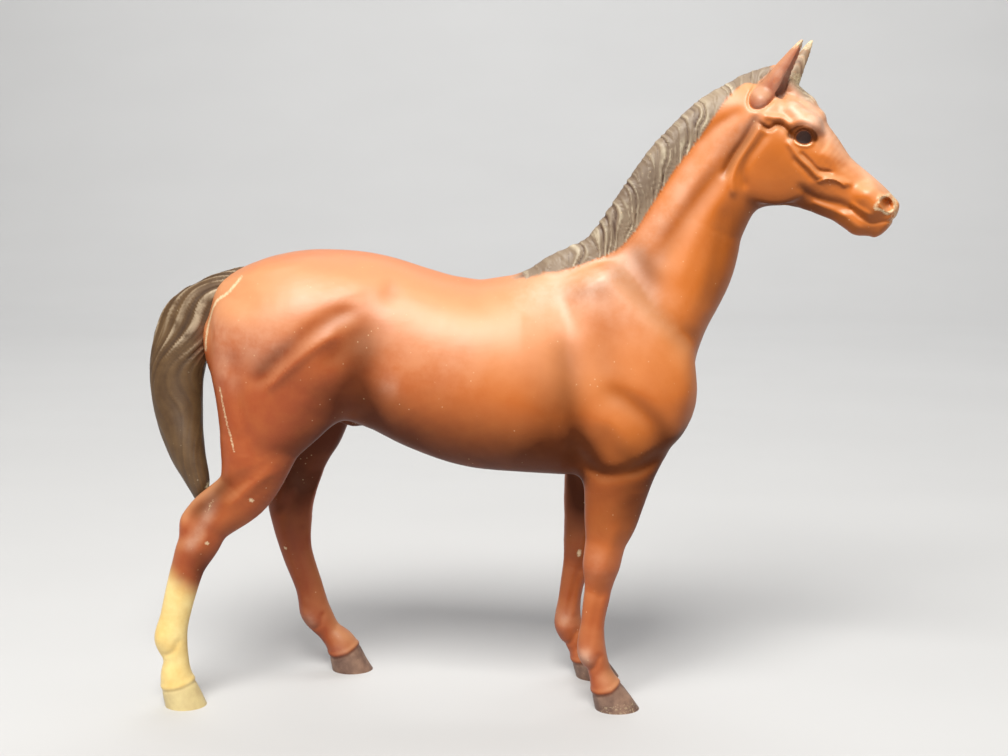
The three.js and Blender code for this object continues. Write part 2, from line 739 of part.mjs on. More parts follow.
const cross = (a, b) => [a[1] * b[2] - a[2] * b[1], a[2] * b[0] - a[0] * b[2], a[0] * b[1] - a[1] * b[0]];
const dot = (a, b) => a[0] * b[0] + a[1] * b[1] + a[2] * b[2];
const minus = (a, b) => [a[0] - b[0], a[1] - b[1], a[2] - b[2]];
const determinant = ([a, b, c]) => dot(a, cross(b, c));

// Thin a closed mesh out to a number of facets: the edge whose loss moves the surface least goes first.
function thinned({ points, faces }, target) {
  const pos = Float64Array.from(points);
  const count = pos.length / 3;
  const quadrics = new Float64Array(count * 10);
  const around = Array.from({ length: count }, () => []);
  const alive = new Uint8Array(faces.length).fill(1);
  const stamp = new Uint32Array(count);
  const corner = (n) => [pos[3 * n], pos[3 * n + 1], pos[3 * n + 2]];
  const normalOf = (a, b, c) => cross(minus(b, a), minus(c, a));
  faces.forEach((face, index) => {
    const [a, b, c] = face.map(corner);
    const normal = normalOf(a, b, c);
    const area = Math.hypot(...normal) || Number.MIN_VALUE;
    const [x, y, z] = normal.map((value) => value / area);
    const w = -dot([x, y, z], a);
    const terms = [x * x, x * y, x * z, x * w, y * y, y * z, y * w, z * z, z * w, w * w];
    for (const n of face) {
      around[n].push(index);
      for (let i = 0; i < 10; i++) quadrics[n * 10 + i] += terms[i] * area;
    }
  });

  const heap = [];
  const lift = (item) => {
    let at = heap.push(item) - 1;
    while (at > 0) {
      const up = (at - 1) >> 1;
      if (heap[up].cost <= item.cost) break;
      heap[at] = heap[up];
      at = up;
    }
    heap[at] = item;
  };
  const drop = () => {
    const top = heap[0];
    const item = heap.pop();
    if (heap.length > 0) {
      let at = 0;
      for (;;) {
        let down = 2 * at + 1;
        if (down >= heap.length) break;
        if (down + 1 < heap.length && heap[down + 1].cost < heap[down].cost) down++;
        if (heap[down].cost >= item.cost) break;
        heap[at] = heap[down];
        at = down;
      }
      heap[at] = item;
    }
    return top;
  };
  const offer = (u, v) => {
    const q = new Float64Array(10);
    for (let i = 0; i < 10; i++) q[i] = quadrics[u * 10 + i] + quadrics[v * 10 + i];
    const errorAt = ([x, y, z]) =>
      q[0] * x * x + q[4] * y * y + q[7] * z * z + q[9] +
      2 * (q[1] * x * y + q[2] * x * z + q[3] * x + q[5] * y * z + q[6] * y + q[8] * z);
    const a = corner(u);
    const b = corner(v);
    const middle = [(a[0] + b[0]) / 2, (a[1] + b[1]) / 2, (a[2] + b[2]) / 2];
    const length = Math.hypot(...minus(a, b));
    const columns = [
      [q[0], q[1], q[2]],
      [q[1], q[4], q[5]],
      [q[2], q[5], q[7]],
    ];
    const rest = [-q[3], -q[6], -q[8]];
    const whole = determinant(columns);
    let best = middle;
    if (Math.abs(whole) > 1e-6 * (q[0] + q[4] + q[7]) ** 3) {
      const solved = columns.map((_, i) => determinant(columns.with(i, rest)) / whole);
      if (Math.hypot(...minus(solved, middle)) < length) best = solved;
    }
    const cost = Math.max(0, errorAt(best)) + 1e-5 * length * length * (q[0] + q[4] + q[7]);
    lift({ cost, u, v, best, marks: stamp[u] + stamp[v] });
  };
  const neighbours = (n) => {
    const found = new Set(around[n].flatMap((index) => faces[index]));
    found.delete(n);
    return found;
  };
  const turnsOver = (n, other, best) =>
    around[n].some((index) => {
      const face = faces[index];
      if (face.includes(other)) return false;
      const was = normalOf(...face.map(corner));
      const is = normalOf(...face.map((m) => (m === n ? best : corner(m))));
      return dot(was, is) <= 0.3 * Math.hypot(...was) * Math.hypot(...is);
    });

  for (let n = 0; n < count; n++) {
    for (const m of neighbours(n)) {
      if (m > n) offer(n, m);
    }
  }
  let left = faces.length;
  while (left > target && heap.length > 0) {
    const { u, v, best, marks } = drop();
    if (marks !== stamp[u] + stamp[v] || around[u].length === 0 || around[v].length === 0) continue;
    const near = neighbours(u);
    const shared = [...neighbours(v)].filter((m) => near.has(m));
    if (!near.has(v) || shared.length !== 2 || turnsOver(u, v, best) || turnsOver(v, u, best)) continue;
    const kept = around[u].filter((index) => !faces[index].includes(v));
    for (const index of around[v]) {
      const face = faces[index];
      if (face.includes(u)) {
        alive[index] = 0;
        left--;
        for (const m of face.filter((m) => m !== u && m !== v)) {
          around[m] = around[m].filter((other) => other !== index);
        }
      } else {
        face[face.indexOf(v)] = u;
        kept.push(index);
      }
    }
    around[u] = kept;
    around[v] = [];
    for (let i = 0; i < 3; i++) pos[3 * u + i] = best[i];
    for (let i = 0; i < 10; i++) quadrics[u * 10 + i] += quadrics[v * 10 + i];
    stamp[u] += 1 + stamp[v];
    stamp[v] = 0;
    for (const m of neighbours(u)) offer(u, m);
  }
  return { points: pos, faces: faces.filter((_, index) => alive[index]) };
}

// The neck bends to the right from here on, so that the head looks that way.
const turnStart = onNeck(bendShare, 0).x;
const turnRadius = turnLength / headTurn;
function turned(x, y) {
  const angle = Math.min(Math.max(0, x - turnStart) / turnRadius, headTurn);
  const radius = y + turnRadius;
  const ahead = x - turnStart - angle * turnRadius;
  return {
    angle,
    x: turnStart + radius * Math.sin(angle) + ahead * Math.cos(angle),
    y: radius * Math.cos(angle) - turnRadius - ahead * Math.sin(angle),
  };
}

// Closed meshes as solids for joining and cutting.
function solidFrom(points, triangles) {
  const mesh = new wasm.Mesh({
    numProp: 3,
    vertProperties: Float32Array.from(points),
    triVerts: Uint32Array.from(triangles),
  });
  mesh.merge();
  return new wasm.Manifold(mesh);
}
function turnedSolid({ points, faces }) {
  const moved = Array.from(points);
  for (let i = 0; i < moved.length; i += 3) {
    const { x, y } = turned(moved[i], moved[i + 1]);
    moved[i] = x;
    moved[i + 1] = y;
  }
  return solidFrom(moved, faces.flat());
}
function shapeSolid(geometry) {
  const bare = geometry.clone();
  bare.deleteAttribute("normal");
  bare.deleteAttribute("uv");
  const merged = mergeVertices(bare);
  return solidFrom(merged.getAttribute("position").array, merged.getIndex().array);
}
const largest = (solid) => solid.decompose().sort((a, b) => b.volume() - a.volume())[0];

function boxBetween(low, high) {
  const size = high.clone().sub(low);
  const middle = high.clone().add(low).multiplyScalar(0.5);
  return shapeSolid(new THREE.BoxGeometry(size.x, size.y, size.z).translate(middle.x, middle.y, middle.z));
}
const roundFacets = 16;
// A round bar along the side-to-side direction, turned with the neck where it stands there.
function crossBar(place, radius, from, to) {
  const bar = new THREE.CylinderGeometry(radius, radius, to - from, roundFacets);
  const at = turned(place.x, 0);
  bar.translate(0, (from + to) / 2, 0);
  bar.rotateZ(-at.angle);
  return shapeSolid(bar.translate(at.x, at.y, place.z));
}

// Where a straight way from inside the horse comes out of its skin.
function wayOut(from, direction, field = skin) {
  let inside = 0;
  let outside = overrun;
  while (outside - inside > seam / 10) {
    const middle = (inside + outside) / 2;
    const p = from.clone().addScaledVector(direction, middle);
    if (field(p.x, p.y, p.z) < 0) inside = middle;
    else outside = middle;
  }
  return from.clone().addScaledVector(direction, inside);
}

// The whole skin, with the head in finer cells than the body.
const fineFrom = onNeck(fineShare, 0);
const margin = 2 * skinCell;
const lowEnd = onTrunk(-0.07, 0).x - hoofLength;
const highEnd = onHead(1, 0).x + 2 * margin;
const topEnd = onNeck(1.1, 0.3).z + margin;
const sideEnd = trunkWidth / 2 + hindSpacing / 8 + margin;
const skinLines = [
  gridLines(lowEnd, highEnd, (x) => (x > fineFrom.x ? headCell : skinCell)),
  gridLines(-sideEnd, sideEnd, () => sideCell),
  gridLines(-hoofLength, topEnd, (z) => (z > fineFrom.z ? headCell : skinCell)),
];
let figure = turnedSolid(thinned(polygonise(skin, ...skinLines), skinFacets));

// Ears, thin and hollowed in front.
function ear(place, side) {
  const at = ([along, across, out]) => onHead(along, across, (out * headWidth) / 2);
  const root = at(place.root);
  const way = at(place.tip).sub(root);
  way.setLength(earLength);
  const stationAt = (scale, forward, outward) =>
    earShares.map(([along, deep, wide]) => ({
      at: root
        .clone()
        .addScaledVector(way, along)
        .add(new THREE.Vector3(forward * deep * earDepth, side * outward * wide * earWidth, 0)),
      depth: scale * deep * earDepth,
      width: scale * wide * earWidth,
    }));
  const outer = loft(stationAt(1, 0, 0));
  const inner = loft(stationAt(...earHollowShares).slice(1));
  const field = (x, y, z) => Math.max(loftDistance(outer, x, y, z), -loftDistance(inner, x, y, z));
  return turnedSolid(thinned(polygonise(field, ...linesOver(outer.box, smallCell)), earFacets));
}

// A small ball pressed flat, set on the side of the head.
function headBall({ place, stretch, sunk }, side, radius) {
  const at = wayOut(onHead(...place), new THREE.Vector3(0, side, 0));
  const spot = turned(at.x, at.y - side * sunk * radius);
  const ball = new THREE.SphereGeometry(radius, roundFacets, roundFacets / 2).scale(...stretch);
  ball.rotateY(-headSlope).rotateZ(-spot.angle);
  return shapeSolid(ball.translate(spot.x, spot.y, at.z));
}
for (const [i, side] of [-1, 1].entries()) {
  figure = figure
    .add(ear(earPlaceShares[i], side))
    .add(headBall(eyeShares, side, eyeRadius))
    .subtract(headBall(nostrilShares, side, nostrilRadius))
    .subtract(headBall(mouthShares, side, mouthRadius));
}

// The soles are flat on the ground.
const far = trunkLength + overrun;
figure = figure.subtract(boxBetween(new THREE.Vector3(-far, -far, -far), new THREE.Vector3(2 * far, far, 0)));

// Half of space to one side of the middle plane, which follows the bend of the neck.
const turnSteps = 12;
function halfSpace(side) {
  const shape = new THREE.Shape();
  shape.moveTo(-far, (side * seam) / 2);
  for (let i = 0; i <= turnSteps; i++) {
    const { x, y } = turned(turnStart + (turnLength * i) / turnSteps, (side * seam) / 2);
    shape.lineTo(x, y);
  }
  const end = turned(2 * far, (side * seam) / 2);
  shape.lineTo(end.x, end.y);
  shape.lineTo(end.x, side * far);
  shape.lineTo(-far, side * far);
  const prism = new THREE.ExtrudeGeometry(shape, { depth: 2 * far, bevelEnabled: false });
  return shapeSolid(prism.translate(0, 0, -overrun));
}

// Legs: what lies under the cuts, each with a plug that goes up into the shells.
const between = onTrunk(partingShare, 0).x; // the hind legs are behind it
const legRegion = (front, side, gap) => {
  const top = (front ? foreCut : hindCut) - gap;
  const low = new THREE.Vector3(front ? between : -far, side < 0 ? -far : gap / 2, -far);
  const high = new THREE.Vector3(front ? 2 * far : between, side < 0 ? -gap / 2 : far, top);
  return boxBetween(low, high);
};
function plug(spot, cut, radiusX, radiusY, gap) {
  const height = plugHeight + gap + 2 * seam;
  const bar = new THREE.CylinderGeometry(radiusX - plugTaper + gap, radiusX + gap, height, roundFacets);
  bar.rotateX(Math.PI / 2).scale(1, (radiusY + gap) / (radiusX + gap), 1);
  return shapeSolid(bar.translate(spot.x, spot.y, cut - 2 * seam + height / 2));
}
const pathSteps = 160;
const plugSpot = (path, cut) =>
  new THREE.CatmullRomCurve3(path).getPoints(pathSteps).find((point) => point.z < cut);
const legs = [
  ["foreleg_right", true, -1, legPath(rightForeShares, foreSpacing, -1)],
  ["foreleg_left", true, 1, legPath(leftForeShares, foreSpacing, 1)],
  ["hindleg_right", false, -1, legPath(rightHindShares, hindSpacing, -1)],
  ["hindleg_left", false, 1, legPath(leftHindShares, hindSpacing, 1)],
].map(([name, front, side, path]) => {
  const girth = front ? [forearmDepth, forearmWidth] : [gaskinDepth, gaskinWidth];
  const plugSize = girth.map((size) => size * (front ? plugShares.fore : plugShares.hind));
  const cut = front ? foreCut : hindCut;
  const spot = plugSpot(path, cut);
  const solid = largest(figure.intersect(legRegion(front, side, seam)));
  return {
    name,
    origin: spot,
    solid: solid.add(plug(spot, cut, ...plugSize, 0)),
    socket: plug(spot, cut, ...plugSize, seam),
    socketWall: plug(spot, cut, ...plugSize, seam + wall),
  };
});

// Tail, with a flat seat across the dock and a peg.
const seatAngle = Math.atan2(seatTop.z - seatBottom.z, seatTop.x - seatBottom.x);
const seatMiddle = seatTop.clone().add(seatBottom).multiplyScalar(0.5);
const seatLength = seatTop.distanceTo(seatBottom);
// Space behind the seat (or, for a negative depth, before it), from its lower end, or from a little below
// it, up.
function seatBlock(depth, gap, below = 0) {
  const length = seatLength + overrun + below;
  const block = new THREE.BoxGeometry(length, far, Math.abs(depth));
  block.translate((length - seatLength) / 2 - below, 0, depth / 2 + gap);
  return shapeSolid(block.rotateY(-seatAngle).translate(seatMiddle.x, 0, seatMiddle.z));
}
function tailPeg(gap) {
  const radius = tailPegRadius + gap;
  const bar = new THREE.CylinderGeometry(radius, radius, tailPegLength + 2 * gap + seam, roundFacets);
  bar.rotateX(Math.PI / 2).translate(0, 0, -(tailPegLength + gap) / 2 + seam);
  return shapeSolid(bar.rotateY(-seatAngle).translate(seatMiddle.x, 0, seatMiddle.z));
}
// What the tail's root takes up in the shells, with room round it.
const tailRoom = (x, y, z) => loftDistance(tail, x, y, z) - 3 * seam - lockRise / 2;
const tailRoomMesh = thinned(polygonise(tailRoom, ...linesOver(tail.box, hollowCell / 2)), earFacets);
const tailSocket = turnedSolid(tailRoomMesh).intersect(seatBlock(overrun, 0, 2 * headCell));
const tailMesh = thinned(polygonise(tailSkin, ...linesOver(tail.box, headCell)), tailFacets);
const tailHair = largest(turnedSolid(tailMesh).subtract(seatBlock(-overrun, seam, headCell)));
const tailSolid = tailHair.add(tailPeg(0));

// The half shells.
const hollowBox = trunk.box.clone().union(neck.box);
const hollowMesh = thinned(polygonise(hollow, ...linesOver(hollowBox, hollowCell)), hollowFacets);
const hollowSolid = turnedSolid(hollowMesh);
const bossPlaces = bossShares.map(({ at, from, way, inset }) => {
  const direction = at(0, way).sub(at(0, 0)).normalize();
  return wayOut(at(...from), direction).addScaledVector(direction, -inset * bossRadius);
});
const pegPlaces = [...bossPlaces, ...pegShares.map(({ at, from }) => at(...from))];
const shellBody = figure
  .subtract(boxBetween(new THREE.Vector3(-far, -far, -far), new THREE.Vector3(between, far, hindCut)))
  .subtract(boxBetween(new THREE.Vector3(-far, -far, -far), new THREE.Vector3(far, far, foreCut)))
  .subtract(tailSocket)
  .subtract(tailPeg(seam));
const bosses = bossPlaces.map((place) => crossBar(place, bossRadius, -bossLength, bossLength));
const rumpEnd = seatBlock(-tailPegLength - wall, 0, seatLength).add(seatBlock(overrun, 0, seatLength));
const walls = [rumpEnd, ...bosses, ...legs.map((leg) => leg.socketWall)];
const cavity = walls.reduce((space, solid) => space.subtract(solid), hollowSolid);
const shells = [
  ["body_shell_right", -1],
  ["body_shell_left", 1],
].map(([name, side]) => {
  let solid = largest(shellBody.subtract(cavity).intersect(halfSpace(side)));
  for (const { socket } of legs) solid = solid.subtract(socket);
  for (const place of pegPlaces) {
    if (side < 0) solid = solid.add(crossBar(place, pegRadius, -bossLength / 2, pegLength));
    else solid = solid.subtract(crossBar(place, pegRadius + seam, -seam, pegLength + seam));
  }
  return { name, solid: largest(solid) };
});

// The finished figure: satin paint on plastic.
const paints = {
  body_shell_right: "#8e4b2b",
  body_shell_left: "#8e4b2b",
  foreleg_right: "#7f4129",
  foreleg_left: "#6d3725",
  hindleg_right: "#c0986a",
  hindleg_left: "#6d3725",
  tail: "#4f443c",
};
function pieceMesh({ name, solid, origin }) {
  const { vertProperties, triVerts, numProp } = solid.getMesh();
  const positions = Array.from({ length: vertProperties.length / numProp }, (_, i) => [
    ...vertProperties.slice(i * numProp, i * numProp + 3),
  ]).flat();
  const geometry = new THREE.BufferGeometry();
  geometry.setAttribute("position", new THREE.Float32BufferAttribute(positions, 3));
  geometry.setIndex([...triVerts]);
  geometry.translate(-origin.x, -origin.y, -origin.z);
  const material = new THREE.MeshStandardMaterial({ color: paints[name], roughness: 0.45, metalness: 0 });
  const mesh = new THREE.Mesh(geometry, material);
  mesh.name = name;
  mesh.position.copy(origin);
  return mesh;
}
const horse = new THREE.Group();
horse.name = "toy_horse";
const pieces = [
  ...shells.map((shell) => ({ ...shell, origin: new THREE.Vector3() })),
  ...legs,
  { name: "tail", solid: tailSolid, origin: seatMiddle },
];
for (const piece of pieces) horse.add(pieceMesh(piece));
const extent = new THREE.Box3().setFromObject(horse, true);
const centre = extent.getCenter(new THREE.Vector3());
horse.position.set(-centre.x, -centre.y, -extent.min.z);
export default horse;
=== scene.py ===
"""A moulded plastic toy horse with a satin chestnut finish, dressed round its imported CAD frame.

The skin is the same smooth field as the CAD's: lofted members that run into each other, with ridges and
hollows drawn in the side view. Here it is worked out on finer grids, with the fine relief of face, mane,
tail and hooves, and meshed piece by piece. Millimetres until a mesh is made, +X forward, +Z up.
"""

import math
from functools import partial

import bmesh
import bpy
import numpy as np
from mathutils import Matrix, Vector
from mathutils.geometry import tessellate_polygon


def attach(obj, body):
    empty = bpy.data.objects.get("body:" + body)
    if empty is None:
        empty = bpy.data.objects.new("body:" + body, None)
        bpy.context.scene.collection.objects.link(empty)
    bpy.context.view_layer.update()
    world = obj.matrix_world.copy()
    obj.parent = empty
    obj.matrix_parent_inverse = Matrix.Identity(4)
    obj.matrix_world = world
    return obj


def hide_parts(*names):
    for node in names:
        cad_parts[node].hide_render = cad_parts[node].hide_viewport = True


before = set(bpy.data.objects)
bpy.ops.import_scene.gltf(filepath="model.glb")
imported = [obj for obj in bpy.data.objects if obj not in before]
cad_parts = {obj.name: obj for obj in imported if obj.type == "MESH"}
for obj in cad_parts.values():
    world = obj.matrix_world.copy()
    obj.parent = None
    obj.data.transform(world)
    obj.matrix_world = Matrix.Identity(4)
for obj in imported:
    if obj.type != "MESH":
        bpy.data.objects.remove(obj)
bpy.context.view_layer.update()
MM = 0.001
OFFSET = (-97.159, 0.0032, 0.0)  # from the side view's places to the row frame
SIDES = {"right": -1, "left": 1}

# Camera, light and floor

SENSOR_WIDTH = 36.0
PHOTO_WIDTH, FOCAL_LENGTH = 1008, 1508  # pixels
CAMERA_YAW, CAMERA_TILT = math.radians(2.5), math.radians(9.6)
CAMERA_AWAY, CAMERA_HEIGHT, AIM_X = 467.5, 182.0, -3.16
# the floor and its backdrop, in metres
FLOOR_FRONT, FLOOR_BACK, SWEEP_RADIUS, BACKDROP_TOP = -1.6, 0.9, 0.6, 2.4
FLOOR_COLUMNS = (-2.6, -0.9, 0.9, 2.6)


def make_camera():
    data = bpy.data.cameras.new("camera")
    camera = bpy.data.objects.new("camera", data)
    bpy.context.scene.collection.objects.link(camera)
    data.sensor_width = SENSOR_WIDTH
    data.lens = SENSOR_WIDTH * FOCAL_LENGTH / PHOTO_WIDTH
    camera.location = (
        (AIM_X + CAMERA_AWAY * math.sin(CAMERA_YAW)) * MM,
        -CAMERA_AWAY * math.cos(CAMERA_YAW) * MM,
        CAMERA_HEIGHT * MM,
    )
    camera.rotation_euler = (math.radians(90) - CAMERA_TILT, 0, CAMERA_YAW)
    data.clip_start = 0.01
    data.clip_end = 20
    bpy.context.scene.camera = camera


def area_light(name, place, target, size, power, colour=(1, 1, 1)):
    data = bpy.data.lights.new(name, "AREA")
    data.shape = "RECTANGLE"
    data.size, data.size_y = size
    data.energy = power
    data.color = colour
    lamp = bpy.data.objects.new(name, data)
    bpy.context.scene.collection.objects.link(lamp)
    lamp.location = place
    way = Vector(target) - Vector(place)
    lamp.rotation_euler = way.to_track_quat("-Z", "Y").to_euler()


def make_stage():
    """A pale floor that runs up into a backdrop in one sweep."""
    rows = [(FLOOR_FRONT, 0), (FLOOR_BACK, 0)]
    for i in range(1, 13):
        turn = math.radians(90 * i / 12)
        away, up = SWEEP_RADIUS * math.sin(turn), SWEEP_RADIUS * (1 - math.cos(turn))
        rows.append((FLOOR_BACK + away, up))
    rows.append((FLOOR_BACK + SWEEP_RADIUS, BACKDROP_TOP))
    verts = [(x, y, z) for y, z in rows for x in FLOOR_COLUMNS]
    faces = [
        (4 * i + j, 4 * i + j + 1, 4 * i + j + 5, 4 * i + j + 4)
        for i in range(len(rows) - 1)
        for j in range(3)
    ]
    mesh = bpy.data.meshes.new("sweep")
    mesh.from_pydata(verts, [], faces)
    mesh.shade_smooth()
    sweep = bpy.data.objects.new("sweep", mesh)
    bpy.context.scene.collection.objects.link(sweep)
    material = bpy.data.materials.new("sweep_paper")
    material.use_nodes = True
    nodes, links = material.node_tree.nodes, material.node_tree.links
    shader = nodes["Principled BSDF"]
    shader.inputs["Roughness"].default_value = 0.75
    noise = nodes.new("ShaderNodeTexNoise")
    noise.inputs["Scale"].default_value = 30
    ramp = nodes.new("ShaderNodeMix")
    ramp.data_type = "RGBA"
    ramp.inputs[6].default_value = (0.56, 0.56, 0.56, 1)
    ramp.inputs[7].default_value = (0.60, 0.60, 0.60, 1)
    links.new(noise.outputs["Fac"], ramp.inputs[0])
    links.new(ramp.outputs[2], shader.inputs["Base Color"])
    mesh.materials.append(material)


def make_light():
    world = bpy.data.worlds.new("world")
    bpy.context.scene.world = world
    world.use_nodes = True
    back = world.node_tree.nodes["Background"]
    back.inputs["Color"].default_value = (1, 1, 1, 1)
    back.inputs["Strength"].default_value = 0.19
    area_light("key", (-0.15, -0.62, 0.98), (0, 0, 0.1), (0.62, 0.48), 17.5, (1, 0.98, 0.94))
    area_light("top", (0.1, 0.3, 1.0), (0, 0, 0.1), (0.9, 0.6), 2)
    area_light("backdrop", (0, 0.75, 1.3), (0, 1.5, 0.5), (1.6, 0.4), 12)


make_camera()
make_stage()
make_light()
bpy.context.scene.view_settings.view_transform = "Standard"

# The horse's sizes

BACK, LENGTH, DEPTH, WIDTH = 134.5, 155.0, 61.0, 53.0
NECK_LENGTH, NECK_DEPTH, NECK_WIDTH = 75.0, 38.0, 20.0
HEAD_LENGTH, HEAD_DEPTH, HEAD_WIDTH = 44.0, 34.0, 18.0
MANE_DEPTH, MANE_WIDTH = 10.5, 7.5
FORE_SPACING, HIND_SPACING = 28.0, 34.0
TURN, TURN_LENGTH = math.radians(11), 22.0
TAIL_DEPTH, TAIL_WIDTH, TAIL_SWING = 16.5, 12.0, 11.0


def on_line(root, degrees, length):
    c, s = math.cos(math.radians(degrees)), math.sin(math.radians(degrees))
    return lambda along, across, y=0.0: (
        root[0] + length * (along * c - across * s),
        y,
        root[2] + length * (along * s + across * c),
    )


def on_trunk(along, drop, y=0.0):
    return (along * LENGTH, y, BACK + drop * DEPTH)


def on_leg(along, up, y=0.0):
    return (along * LENGTH, y, up * BACK)


NECK_SLOPE, HEAD_SLOPE = 59.7, -36.3
on_neck = on_line(on_trunk(0.839, -0.31), NECK_SLOPE, NECK_LENGTH)
on_head = on_line(on_neck(1.036, -0.078), HEAD_SLOPE, HEAD_LENGTH)
FORE_CUT = on_trunk(0, -1.045)[2]
HIND_CUT = on_trunk(0, -0.845)[2]
BETWEEN = on_trunk(0.36, 0)[0]
TURN_START = on_neck(0.45, 0)[0]
TURN_RADIUS = TURN_LENGTH / TURN


def cut_height(leg):
    """Where the leg's piece ends and the shell begins."""
    return FORE_CUT if leg.startswith("fore") else HIND_CUT


# along, top, bottom, width, crown
TRUNK = [
    (0.03, -0.17, -0.56, 0.44, 0),
    (0.075, 0.0, -0.7, 0.62, 0),
    (0.155, 0.103, -0.71, 0.8, 0),
    (0.252, 0.142, -0.73, 0.86, -0.1),
    (0.323, 0.126, -0.745, 0.87, -0.15),
    (0.4, 0.068, -0.812, 0.9, -0.1),
    (0.477, 0.018, -0.908, 0.96, -0.05),
    (0.558, -0.006, -0.98, 1, -0.05),
    (0.639, 0.016, -1, 1, -0.15),
    (0.716, 0.06, -1.01, 0.93, -0.35),
    (0.78, 0.09, -1.01, 0.84, -0.4),
    (0.845, 0.0, -0.97, 0.76, -0.3),
    (0.905, -0.12, -0.89, 0.68, -0.1),
    (0.945, -0.27, -0.77, 0.56, 0),
    (0.965, -0.38, -0.66, 0.4, 0),
]
# along, across, depth, width, crown
NECK = [
    (-0.14, 0.07, 1.2, 1.5, -0.35),
    (0.022, 0.05, 1.22, 1.4, -0.4),
    (0.199, 0.02, 1.2, 1.34, -0.45),
    (0.392, 0.006, 1.1, 1.15, -0.45),
    (0.566, 0.036, 1, 1, -0.4),
    (0.742, 0.04, 0.94, 0.93, -0.3),
    (0.884, 0.024, 0.9, 0.91, -0.2),
    (1.0, -0.01, 0.78, 0.88, 0),
    (1.1, -0.03, 0.62, 0.8, 0),
]
HEAD = [
    (-0.06, 0.0, 0.8, 0.84, 0.1),
    (0.06, -0.04, 0.98, 0.98, 0.12),
    (0.19, -0.058, 0.98, 1, 0.15),
    (0.35, -0.045, 0.78, 0.96, 0.2),
    (0.56, -0.038, 0.58, 0.74, 0.15),
    (0.74, -0.019, 0.5, 0.61, 0.1),
    (0.88, -0.012, 0.45, 0.62, 0),
    (0.99, -0.006, 0.38, 0.5, 0),
]
# along, across, to the side
MANE = [
    (-0.1, 0.5, 0),
    (0.02, 0.43, -0.1),
    (0.13, 0.36, -0.24),
    (0.27, 0.268, -0.33),
    (0.41, 0.25, -0.36),
    (0.57, 0.242, -0.36),
    (0.742, 0.226, -0.34),
    (0.884, 0.185, -0.3),
    (1.0, 0.144, -0.2),
    (1.1, 0.088, 0),
    (1.18, 0.062, 0),
    (1.25, 0.027, 0),
]
# the small swellings: places along, across and to the side; spread, depth, width and blend in millimetres
SWELLINGS = [
    (on_trunk, [(0.9, -0.4, 0.62), (0.925, -0.6, 0.56), (0.885, -0.77, 0.6)], 28.0, 19.0, 14.0, 6.1),
    (on_head, [(0.1, -0.12, 0.62), (0.2, -0.16, 0.62)], 18.0, 22.0, 7.0, 2.72),
    (on_head, [(0.07, 0.2, 0.72), (0.2, 0.2, 0.78)], 18.0, 6.0, 6.0, 2.72),
    (on_head, [(0.8, 0.05, 0.5), (0.87, 0.04, 0.5)], 18.0, 7.2, 7.2, 2.72),
]
SHEATH = [
    (42.5, 0, 89.6, 1.4, 2, 0),
    (46.6, 0, 89, 1.9, 2.4, 0),
    (50.2, 0, 89.8, 1.3, 2, 0),
]
CHIN = [(0.79, -0.12), (0.865, -0.13)]
FORELOCK = [(-0.14, 0.305), (-0.08, 0.317), (0, 0.312), (0.09, 0.302)]
# depth and width of the legs' stations
FORE_GIRTHS = [
    (16.8, 11.9), (28.2, 15.98), (30, 17), (24.6, 16.66), (21.2, 14.31), (16.4, 11.34), (12.87, 9.8),
        (11.7, 9.8),
    (8.58, 6.78), (7.4, 6.4), (8.84, 8.06), (7.2, 6.9), (9.25, 9.72), (12.5, 11.3), (14.25, 12.2),
]  # fmt: skip
HIND_GIRTHS = [
    (24, 13), (45, 24), (41.85, 22.8), (26.5, 18.24), (17.4, 12.6), (15.23, 9.6), (13.06, 9.02),
        (10.3, 7.56), (9.2, 7),
    (10.04, 8.4), (7.92, 7.18), (10, 9.72), (12.5, 11.3), (14, 12.2),
]  # fmt: skip
# along, up, out
LEGS = {
    "foreleg_right": [
        (0.787, -0.02, 0.66), (0.865, 0.83, 0.86), (0.868, 0.726, 0.98), (0.847, 0.622, 1),
        (0.838, 0.563, 1), (0.824, 0.456, 1), (0.815, 0.404, 1), (0.806, 0.348, 1),
        (0.799, 0.285, 1), (0.79, 0.213, 1), (0.788, 0.144, 1), (0.803, 0.096, 1),
        (0.817, 0.052, 1), (0.837, 0, 1), (0.852, -0.037, 1),
    ],
    "foreleg_left": [
        (0.787, -0.02, 0.66), (0.865, 0.83, 0.86), (0.862, 0.726, 0.98), (0.829, 0.622, 1),
        (0.803, 0.563, 1), (0.782, 0.456, 1), (0.772, 0.404, 1), (0.767, 0.348, 1),
        (0.756, 0.285, 1), (0.744, 0.207, 1), (0.741, 0.133, 1), (0.761, 0.081, 1),
        (0.777, 0.048, 1), (0.8, 0, 1), (0.816, -0.037, 1),
    ],
    "hindleg_right": [
        (0.17, 1, 0.42), (0.194, 0.889, 0.7), (0.165, 0.763, 0.74), (0.129, 0.652, 0.82),
        (0.094, 0.522, 0.9), (0.015, 0.444, 0.95), (-0.003, 0.396, 1), (-0.026, 0.338, 1),
        (-0.056, 0.219, 1), (-0.066, 0.163, 1), (-0.058, 0.115, 1), (-0.058, 0.067, 1),
        (-0.042, 0, 1), (-0.034, -0.037, 1),
    ],
    "hindleg_left": [
        (0.17, 1, 0.42), (0.194, 0.889, 0.7), (0.18, 0.763, 0.74), (0.188, 0.652, 0.82),
        (0.17, 0.541, 0.9), (0.145, 0.441, 0.95), (0.145, 0.381, 1), (0.154, 0.307, 1),
        (0.179, 0.215, 1), (0.195, 0.144, 1), (0.221, 0.1, 1), (0.248, 0.063, 1),
        (0.268, 0, 1), (0.282, -0.037, 1),
    ],
}  # fmt: skip
